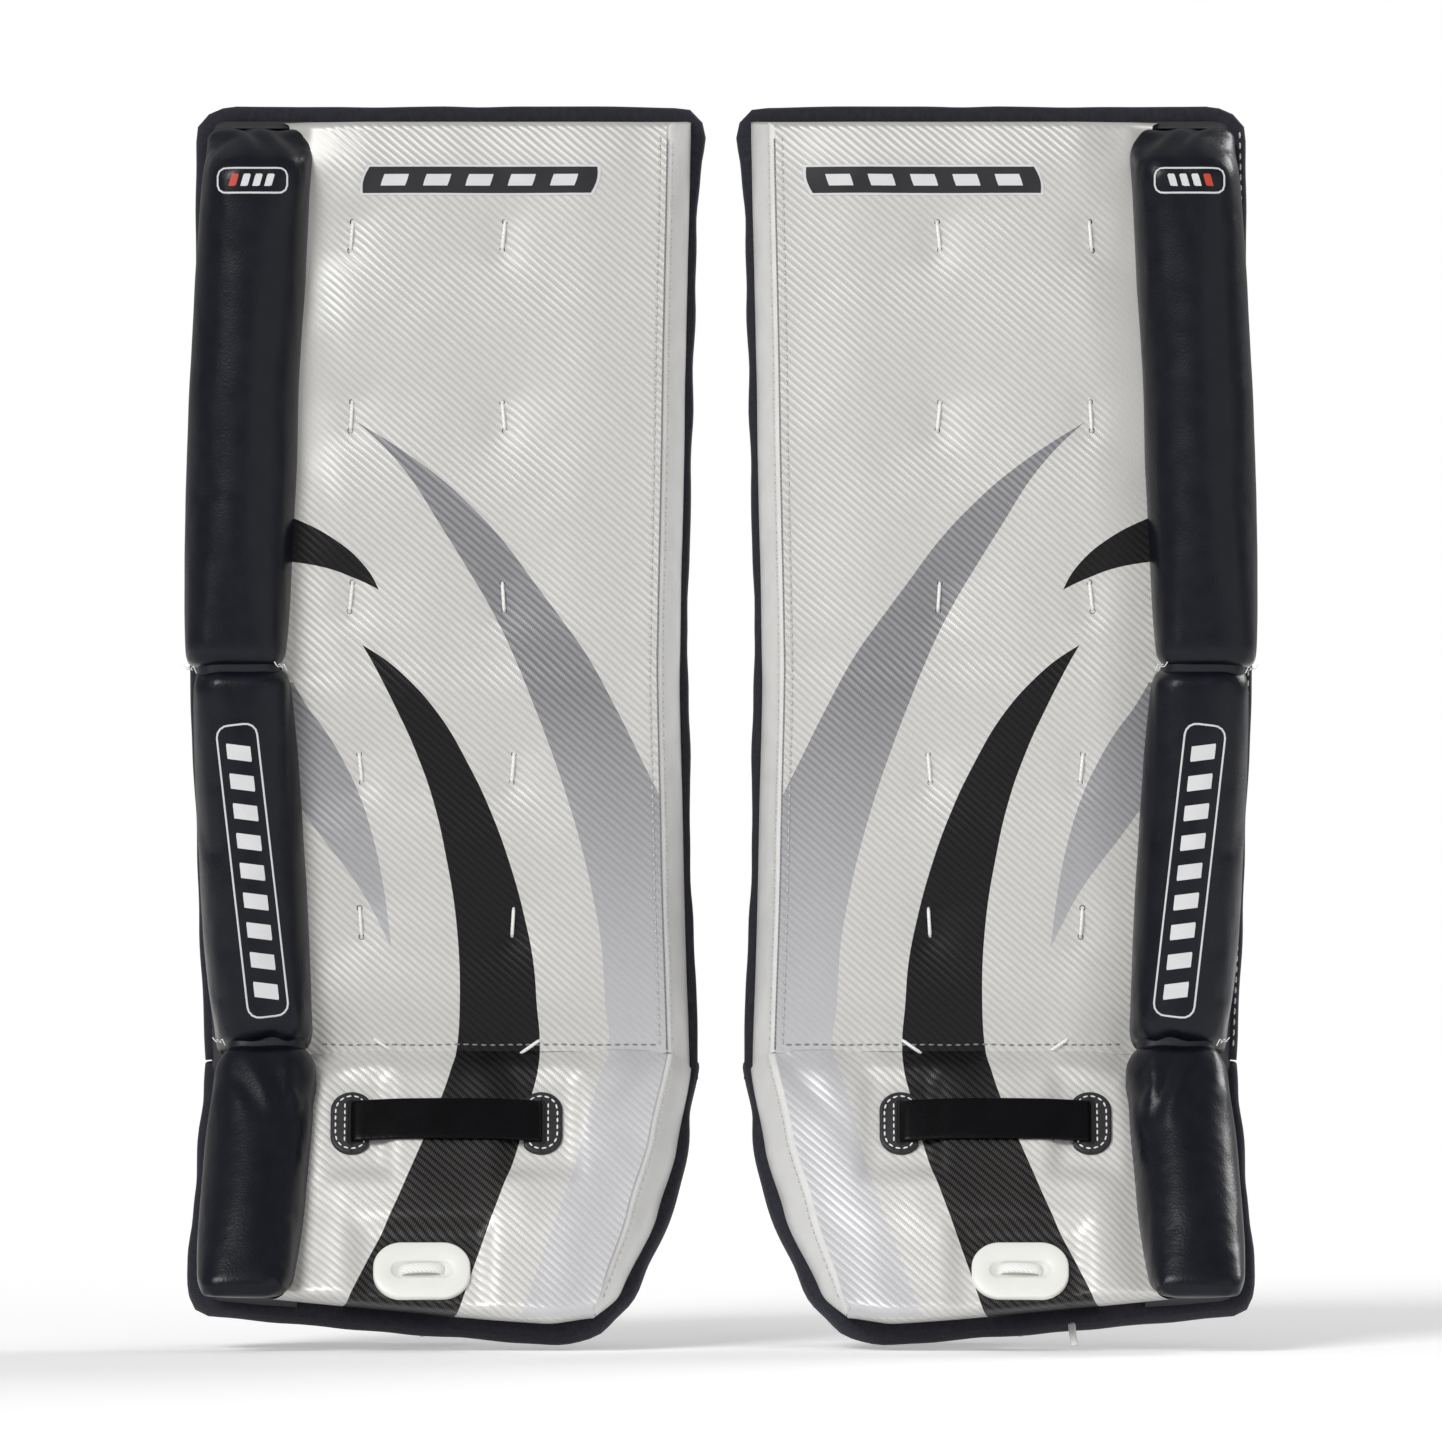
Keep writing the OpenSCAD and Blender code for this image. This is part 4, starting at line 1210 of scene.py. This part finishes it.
patches, patch_thread, slots = Shape(), Shape(), Shape()
for k, centre in enumerate(PATCH_X):
    made = stack([patch_ring(k, grow, y) for grow, y in PATCH_LAYERS], boot, flip=True)
    patches.add(made.verts, made.faces)
    row = [boot(*p) for p in patch_ring(k, -2.6, PATCH_Y + 0.05)]
    stitches(row + row[:1], BOOT_FRONT, 4.0, 2.7, 0.5, patch_thread)
    for away in (-3.6, 3.6):
        line = [boot(centre + away, PATCH_Y, STRAP_Z + z) for z in range(-12, 13, 4)]
        stitches(line, BOOT_FRONT, 4.0, 2.7, 0.45, patch_thread)
    # painted shade: a dark rim and disc for the shade inside the slot
    rim = [boot(x, PATCH_Y - 0.05, z) for x, z in rounded_rectangle(4.4, 26, 2.1, 6, centre, STRAP_Z)]
    tube(rim, oval(0.5, 0.5, 6), BOOT_BACK, closed=True, shape=slots)
    slots.fan(boot(centre, PATCH_Y, STRAP_Z), rim)
emit("slot_patches", patches, "patch", slot="patch_leather", body="boot", replaces=("strap_patches",))
emit("patch_stitches", patch_thread, "lace", body="boot")
emit("strap_slots", slots, "hole", body="boot")

# The strap's runs as (x, y): over the instep, and the two that meet in the buckle behind the heel
FRONT_Y, HEEL_Y, TAIL_Y, STRAP_HALF = -33.4, 97.25, 104.45, 1.2
INSTEP_RUN = [(-45, -26), (-45, -31.5), (-42.6, FRONT_Y), (-20, FRONT_Y - 1.9), (4, FRONT_Y - 2.4),
              (28, FRONT_Y - 1.9), (50.6, FRONT_Y), (53, -31.5), (53, -26)]
LATERAL_RUN = [(-45, 19), (-45, HEEL_Y), (-14, HEEL_Y), (-8, HEEL_Y - 1.2), (-5.2, 99.4), (-8, 102.2),
               (-16, HEEL_Y + 2.6)]
MEDIAL_RUN = [(53, 19), (53, TAIL_Y), (-40, TAIL_Y)]
for name, run, radius, replaces in (("instep_strap", INSTEP_RUN, 4, ("boot_strap",)),
                                    ("heel_strap_lateral", LATERAL_RUN, 7, ()),
                                    ("heel_strap_medial", MEDIAL_RUN, 8, ())):
    path = rounded([(x, y, STRAP_Z) for x, y in run], radius, 2.0)
    emit(name, mapped(tube(path, oval(1.15, 12, 20, 7.0), UP), boot), "strap", slot="strap_leather",
         body="boot", replaces=replaces)
strap_thread, holes = Shape(), Shape()
for x0, x1, y in ((-38, -20, HEEL_Y + STRAP_HALF), (-34, 44, TAIL_Y + STRAP_HALF)):
    for z in (-9.6, 9.6):
        line = [boot(x, y, STRAP_Z + z) for x in (x0, (x0 + x1) / 2, x1)]
        stitches(line, BOOT_BACK, 4.2, 2.9, 0.4, strap_thread)
emit("strap_stitches", strap_thread, "dark_thread", body="boot")
TONGUE_HOLE = -16.4
for x in (-30, TONGUE_HOLE, 8, 24, 40):
    for y in (TAIL_Y - STRAP_HALF, TAIL_Y + STRAP_HALF):
        # painted shade: a dark rim and disc for the shade inside each hole
        ring = [boot(x + u, y, STRAP_Z + w) for u, w in oval(6 if x == TONGUE_HOLE else 2.6, 1.7, 16)]
        tube(ring, oval(0.35, 0.3, 6), BOOT_BACK, closed=True, shape=holes)
        holes.fan(boot(x, y, STRAP_Z), ring)
emit("strap_holes", holes, "hole", body="boot")

# Outlines of the toe plate from its back to its front, and down into its recess: (w, h, r, y)
PLATE_LAYERS = [(50, 33, 14.5, -29.6), (50, 33, 14.5, -31.6), (49.3, 32.3, 14.15, -32.4),
                (47.4, 30.4, 13.2, -32.8), (33, 11, 5.4, -32.8), (31.6, 9.6, 4.7, -32.5), (31, 9, 4.4, -31.5)]
rings = [[(x, y, z) for x, z in rounded_rectangle(w, h, r, 16, PLATE_X, PLATE_Z)]
         for w, h, r, y in PLATE_LAYERS]
emit("toe_plate_cover", stack(rings, boot), "plate", slot="toe_plastic", body="boot",
     replaces=("toe_plate",), flip=True)


def lace_run(points, section, slant=0.0):
    """Flat lace through (x, y) points about the plate's centre."""
    path = rounded([(PLATE_X + x, y, PLATE_Z + slant * x) for x, y in points], 4, 1.5)
    return mapped(tube(path, section, UP), boot)


front = [(-11, -20), (-11, -30), (-9.5, -33.2), (-4, -34.4), (4, -34.5), (9.5, -33.2), (11, -30), (11, -20)]
emit("toe_lace_front", lace_run(front, oval(1.5, 2.9, 12, 2.6), 0.3 / 11), "lace", slot="white_lace",
     body="boot", replaces=("toe_lace",))
back = [(-11, 12), (-11, 20), (-9, 22.6), (0, 23.4), (9, 22.6), (11, 20), (11, 12)]
back_lace = lace_run(back, oval(1.3, 2.6, 12, 2.4))
knot = [boot(PLATE_X + 1.5 * (sin(q) + 2 * sin(2 * q)), 26 + 1.5 * sin(3 * q),
             PLATE_Z + 1.5 * (cos(q) - 2 * cos(2 * q))) for q in (2 * pi * i / 60 for i in range(60))]
tube(knot, oval(1.5, 1.5, 10), (0.1, 1, 0.2), closed=True, shape=back_lace)
emit("toe_lace_back", back_lace, "lace", slot="white_lace", body="boot")
tip = [boot(x, y, boot_z(h, y)) for x, y, h in ((-35, 6, 9), (-35.4, 4, 4), (-36.4, 4, -1.5))]
emit("lace_tip", tube(rounded(tip, 3, 1.5), oval(1.9, 1.4, 10, 2.6), BACK), "lace", slot="white_lace",
     body="boot", sides=("left",))


# ---------------------------------------------------------------- knee and calf padding
PADDING_MIDDLE = 26


def prism(outline, y0, y1):
    """Closed block between two depths, from an outline of (x, z)."""
    return Shape().add([(x, y, z) for y in (y0, y1) for x, z in outline], column_faces(len(outline), 2))


def channels(shape, lines, axis, depth, half):
    """Sewn channels: presses the padding's back in along lines on one axis."""
    for v in shape.verts:
        if v.y > PADDING_MIDDLE:
            v.y -= depth * sum(hump(v[axis] - line, half) for line in lines)
    return shape


CUSHION_Z = KNEE_H - 20.5
CRADLE_Z = WING.z / MM - FLOOR / MM
cushion = inflate(prism(rounded_rectangle(166, 30, 6, 12, 7, CUSHION_Z), 21.5, 32.5), 4.0, 3.0)
channels(cushion, (-36, 8), 0, 3.2, 3.0)
block = inflate(prism(rounded_rectangle(36, 29, 6, 12, 72, CUSHION_Z), 34.0, 72.0), 4.0, 3.0)
cradle = inflate(prism(rounded_rectangle(144, 120, 17, 12, 0, CRADLE_Z), 21.8, 32.4), 4.5, 3.0)
channels(cradle, (CRADLE_Z - 30, CRADLE_Z, CRADLE_Z + 30), 2, 3.6, 3.2)
for name, pad, seed, slot, replaces, fill in (
        ("knee_cushion", cushion, 3, "knee_padding", ("knee_block",), 0.8),
        ("landing_block", block, 6, "knee_padding", (), 0.9),
        ("calf_cushion", cradle, 2, "calf_padding", ("calf_cradle",), 0.8)):
    emit(name, crumple(pad, 0.5, seed), "mesh", slot=slot, body="shin", replaces=replaces, padded=fill)
calf_outline = [(x * 1.012, CRADLE_Z + z * 1.012) for x, z in rounded_rectangle(144, 120, 17)]
for name, outline, y, radius in (
        ("calf_piping", calf_outline, 27, 1.6),
        ("knee_piping", rounded_rectangle(171, 34, 7, 12, 7, CUSHION_Z), 27.5, 1.4),
        ("block_piping", rounded_rectangle(40.5, 33.5, 7, 12, 72, CUSHION_Z), 66, 1.4)):
    piping = tube([(x, y, z) for x, z in outline], oval(radius, radius, 8), BACK, closed=True)
    emit(name, piping, "binding", body="shin")


# ---------------------------------------------------------------- calf wings, webbing and clips
WING_R, WING_MID, WING_TALL = 115.0, CRADLE_Z, 132.0
WING_INNER, WING_OUTER = 108.6, 121.0
HINGE_ANGLE = -19.295
STRAP_R = 122.3


def on_wing(sign, r, angle, z):
    """Point on a wing: radius and degrees round the leg, and height. sign is -1 on the lateral side."""
    q = radians(angle)
    return Vector((sign * r * cos(q), CHANNEL_Y + r * sin(q), z))


def wing_shape(sign, end):
    """Curved panel from the hinge to the angle end, with rounded corners at its end."""
    angles = [HINGE_ANGLE + (end - 1.5 - HINGE_ANGLE) * i / 20 for i in range(21)]
    length = radians(end - HINGE_ANGLE) * WING_R

    def section(t):
        over = max(1 - (1 - t) * length / 16, 0)
        return oval(4.3, WING_TALL / 2 - 2.5 - 13 * (1 - sqrt(1 - over * over * 0.98)), 32, 9.0)

    return tube([on_wing(sign, WING_R, q, WING_MID) for q in angles], section, UP)


def pressed(shape, seams):
    """Keeps the padding between the wing's faces, and presses its sewn lines in."""
    for i, v in enumerate(shape.verts):
        out = Vector((v.x, v.y - CHANNEL_Y))
        r, q = out.length, degrees(atan2(out.y, abs(out.x)))
        dent = sum(hump(q - seam, 1.5) for seam in seams)
        edge = WING_R + (r - WING_R) * (1 - 0.55 * min(dent, 1))
        edge = min(max(edge, WING_INNER), WING_OUTER)
        shape.verts[i] = Vector((v.x * edge / r, CHANNEL_Y + out.y * edge / r, v.z))
    return shape


def wing_edge(sign, end):
    tall = WING_TALL / 2 - 1
    corners = [(HINGE_ANGLE, tall), (end - 7, tall), (end - 2, tall - 4), (end - 0.4, tall - 14)]
    corners += [(q, -z) for q, z in corners[::-1]]
    flat = rounded([(q, z, 0) for q, z in corners], 4, 1.2)
    return [on_wing(sign, WING_R, p.x, WING_MID + p.y) for p in flat]


def radial(point):
    return Vector((point.x, point.y - CHANNEL_Y, 0))


for name, sign, end, seams in (("lateral", -1, 55, (2, 28)), ("medial", 1, 8, (-6,))):
    body = f"{name}_wing"
    pad = crumple(pressed(inflate(wing_shape(sign, end), 4.0, 2.5), seams), 0.35, 5)
    emit(f"{name}_wing_pad", pad, "wing", slot="wing_padding", body=body, replaces=(body,), padded=0.8)
    emit(f"{name}_wing_binding", tube(wing_edge(sign, end), oval(2.2, 2.2, 10), UP), "binding",
         slot="wing_padding", body=body)
    rows = Shape()
    for seam in seams:
        line = [on_wing(sign, 118.6, seam, WING_MID + z) for z in range(-60, 61, 10)]
        stitches(line, radial(line[0]), 4.5, 2.8, 0.4, rows)
    emit(f"{name}_wing_stitches", rows, "dark_thread", body=body)

WEB_SECTION = oval(0.95, 12.4, 24, 8.0)
# Corners of a box of stitches and its cross: ends of the box as 0 or 1, and mm up
TACK = [(0, -9), (1, -9), (1, 9), (0, 9), (0, -9), (1, 9), (1, -9), (0, 9)]


def clip_place(sign, angle, z):
    """Frame of a clip: along the strap towards its tip, out from the leg, up."""
    q = radians(angle)
    out = Vector((sign * cos(q), sin(q), 0))
    along = Vector((-sign * sin(q), cos(q), 0))
    centre = on_wing(sign, STRAP_R, angle, z)
    return lambda a, o, u: centre + along * a + out * o + Vector((0, 0, u))


def loft(place, sections, shape, power=6.0, count=28):
    """Skin over superellipse sections of (along, half out, half up, centre out, centre up)."""
    verts = []
    for a, half_o, half_u, *centre in sections:
        o, u = centre or (0, 0)
        verts += [place(a, o + p, u + q) for p, q in oval(half_o, half_u, count, power)]
    return shape.add(verts, column_faces(count, len(sections)))


def female_clip(place, shape):
    outer = [(-15, 2.6, 12.5), (-14.2, 3.6, 14), (-11, 4.1, 14.8), (-4, 4.4, 15), (2, 4.4, 13.6),
             (6, 4.4, 13.2), (10, 4.4, 14.2), (14, 4.4, 15), (15, 4.1, 14.6)]
    inner = [(14.9, 2.9, 13), (8, 2.6, 12.4)]
    loft(place, outer + inner, shape)
    plaque = [(-9, 9, 4.3), (-8, 9.5, 4.8), (-3, 9.5, 4.8), (-2, 9, 4.3)]
    loft(place, [(a, 0.4, half, out, 0) for a, half, out in plaque], shape)


def male_clip(place, shape):
    loft(place, [(-16, 2.6, 14), (-15.2, 3.3, 14.9), (-10, 3.4, 15), (-3, 3.4, 14.6), (-2, 2.8, 13.6)], shape)
    for side in (-1, 1):
        arm = [(-3, 1.9, 1.9, 11.6), (4, 1.9, 1.5, 11.2), (8, 1.9, 2.1, 11.5), (10.5, 1.9, 2.2, 11),
               (13.5, 1.5, 1.2, 9.8)]
        loft(place, [(a, o, u, 0, side * up) for a, o, u, up in arm], shape, 4.0, 16)
    loft(place, [(-3, 1.7, 2.0), (8, 1.7, 1.8), (12.5, 1.2, 1.1)], shape, 4.0, 16)
    for a in (-13, -8.5):
        edge = [(a + side * 0.9, 0.4, 12.4, 3.3, 0) for side in (-1, 1)]
        loft(place, [edge[0], (a, 0.5, 12.8, 3.7, 0), edge[1]], shape)


STRAP_LEVELS = [WING_MID + side * (WING_TALL / 2 - 34.5) for side in (-1, 1)]


def tack(sign, low, high, z, shape):
    """Box of stitches with a cross, between two angles, where webbing is sewn down."""
    for (s0, z0), (s1, z1) in zip(TACK, TACK[1:]):
        spots = [(s0 + (s1 - s0) * i / 4, z + z0 + (z1 - z0) * i / 4) for i in range(5)]
        line = [on_wing(sign, STRAP_R + 1.0, low + (high - low) * s, up) for s, up in spots]
        stitches(line, radial, 2.6, 1.9, 0.35, shape)


for web_name, tack_name, body, sign, start, end, tacks, replaces in (
        ("calf_webbing", "webbing_tacks", "lateral_wing", -1, -8, 114, ((-6, 4), (102, 110)),
         ("calf_straps",)),
        ("short_webbing", "short_webbing_tacks", "medial_wing", 1, 0, 28.5, ((1.5, 7),), ())):
    webs, sewn = Shape(), Shape()
    for z in STRAP_LEVELS:
        path = [on_wing(sign, STRAP_R, start + (end - start) * i / 40, z) for i in range(41)]
        tube(path, WEB_SECTION, UP, shape=webs)
        for low, high in tacks:
            tack(sign, low, high, z, sewn)
    emit(web_name, webs, "webbing", slot="webbing", body=body, replaces=replaces)
    emit(tack_name, sewn, "thread", body=body)

for name, clip, body, sign, angle in (("male_clip", male_clip, "lateral_wing", -1, 122),
                                      ("female_clip", female_clip, "medial_wing", 1, 36)):
    clips = Shape()
    for z in STRAP_LEVELS:
        clip(clip_place(sign, angle, z), clips)
    emit(f"{name}_pair", clips, "clip", slot="clip_plastic", body=body, replaces=(f"{name}s",))


# ---------------------------------------------------------------- plain marks in the places of printed ones
def decal(corners, lift, nu=26, nv=6):
    """Thin print on the upper face: corners (x, z) at low left, low right, high right, high left."""
    c = [Vector(p) for p in corners]

    def spot(a, b):
        inset = 0.012 * (1 - arch(b))
        a = inset + (1 - 2 * inset) * a
        x, z = c[0].lerp(c[1], a).lerp(c[3].lerp(c[2], a), b)
        return on_face(x, z, lift), (x, z)

    return sheet(nu, nv, spot)


def parallelogram(x, low, high, width, shear):
    return [(x, low), (x + width, low), (x + width + shear, high), (x + shear, high)]


for side, x0 in (("right", -43), ("left", -23)):
    low, high = KNEE_H + 246, KNEE_H + 262
    bar = [(x0 + 1.4, low + 1.2), (x0 + 122.8, low + 1.2), (x0 + 126.2, high - 1.2), (x0 + 5, high - 1.2)]
    slashes = Shape()
    for k in range(5):
        made = decal(parallelogram(x0 + 12 + 22 * k, low + 5, high - 5, 13, 2), 0.65, 8, 3)
        slashes.add(made.verts, made.faces)
    for name, shape, material in (
            ("face_bar_edge", decal(parallelogram(x0, low, high, 124, 4), 0.25), "print_white"),
            ("face_bar", decal(bar, 0.45), "print_black"),
            ("face_bar_slashes", slashes, "print_white")):
        emit(name, shape, material, blend=KNEE_BLEND, sides=(side,))


def on_roll(tree, x, z, lift):
    """The point on a roll in front of (x, z), lifted off it."""
    start = upper(x, -90, z)
    way = (upper(x, 0, z) - start).normalized()
    hit = tree.ray_cast(start, way)[0]
    return (hit if hit else upper(x, ROLL_FRONT, z)) - way * lift


def dense(outline, step):
    """A closed outline of (x, z) as points a step apart."""
    return [(p.x, p.y) for p in resample(outline + outline[:1], step)[:-1]]


def roll_mark(tree, outline, shape):
    """Filled patch on a roll, from a convex outline of (x, z)."""
    cx, cz = (sum(p[i] for p in outline) / len(outline) for i in (0, 1))
    outline = dense(outline, 1.4)
    n = len(outline)
    verts = [on_roll(tree, cx + (x - cx) * share, cz + (z - cz) * share, 0.2)
             for share in (1.0, 0.75, 0.5, 0.25) for x, z in outline]
    faces = grid_faces(n, 4, True) + [(3 * n + i, 3 * n + (i + 1) % n, 4 * n) for i in range(n)]
    shape.add(verts + [on_roll(tree, cx, cz, 0.2)], faces)


def roll_outline(tree, outline, shape):
    path = [on_roll(tree, x, z, 0.1) for x, z in dense(outline, 2.5)]
    tube(path, oval(0.55, 0.25, 6), BACK, closed=True, shape=shape)


thigh_tree, shin_tree = (BVHTree.FromPolygons(rolls[n].verts, rolls[n].faces) for n in ("thigh", "shin"))
badge, accent, panel = Shape(), Shape(), Shape()
roll_outline(thigh_tree, rounded_rectangle(36, 13, 4, 12, -97, KNEE_H + 252), badge)
for k in range(4):
    bar = parallelogram(-109.5 + 6.2 * k, KNEE_H + 249, KNEE_H + 255.5, 3.8, 1.8)
    roll_mark(thigh_tree, bar, badge if k else accent)
emit("badge_lines", badge, "print_white", blend=KNEE_BLEND)
emit("badge_accent", accent, "print_red", blend=KNEE_BLEND)

PANEL_TILT, PANEL_X, PANEL_Z = radians(6.5), -96.5, 243
RUNG_PITCH, RUNG_HALF = 15.5, 6.2


def tilted(x, z):
    """Point in the tilted panel: x across and z along it."""
    c, s = cos(PANEL_TILT), sin(PANEL_TILT)
    return PANEL_X + x * c - z * s, PANEL_Z + x * s + z * c


roll_outline(shin_tree, [tilted(x, z) for x, z in rounded_rectangle(21, 152, 6)], panel)
for z in (-62 + RUNG_PITCH * k for k in range(9)):
    rung = ((-RUNG_HALF, z - 3), (RUNG_HALF, z - 6), (RUNG_HALF, z + 2), (-RUNG_HALF, z + 5))
    roll_mark(shin_tree, [tilted(*p) for p in rung], panel)
emit("panel_lines", panel, "print_white", blend=KNEE_BLEND)


# ---------------------------------------------------------------- CAD nodes that stay
for side in SIDES:
    for name in ("buckle_frame", "buckle_tongue"):
        for slot in bpy.data.objects[f"{side}_{name}"].material_slots:
            slot.material = MAT["steel"]


# ---------------------------------------------------------------- finish
low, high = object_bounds()
{"cad": [list(cad_low), list(cad_high)], "visual": [list(low), list(high)]}
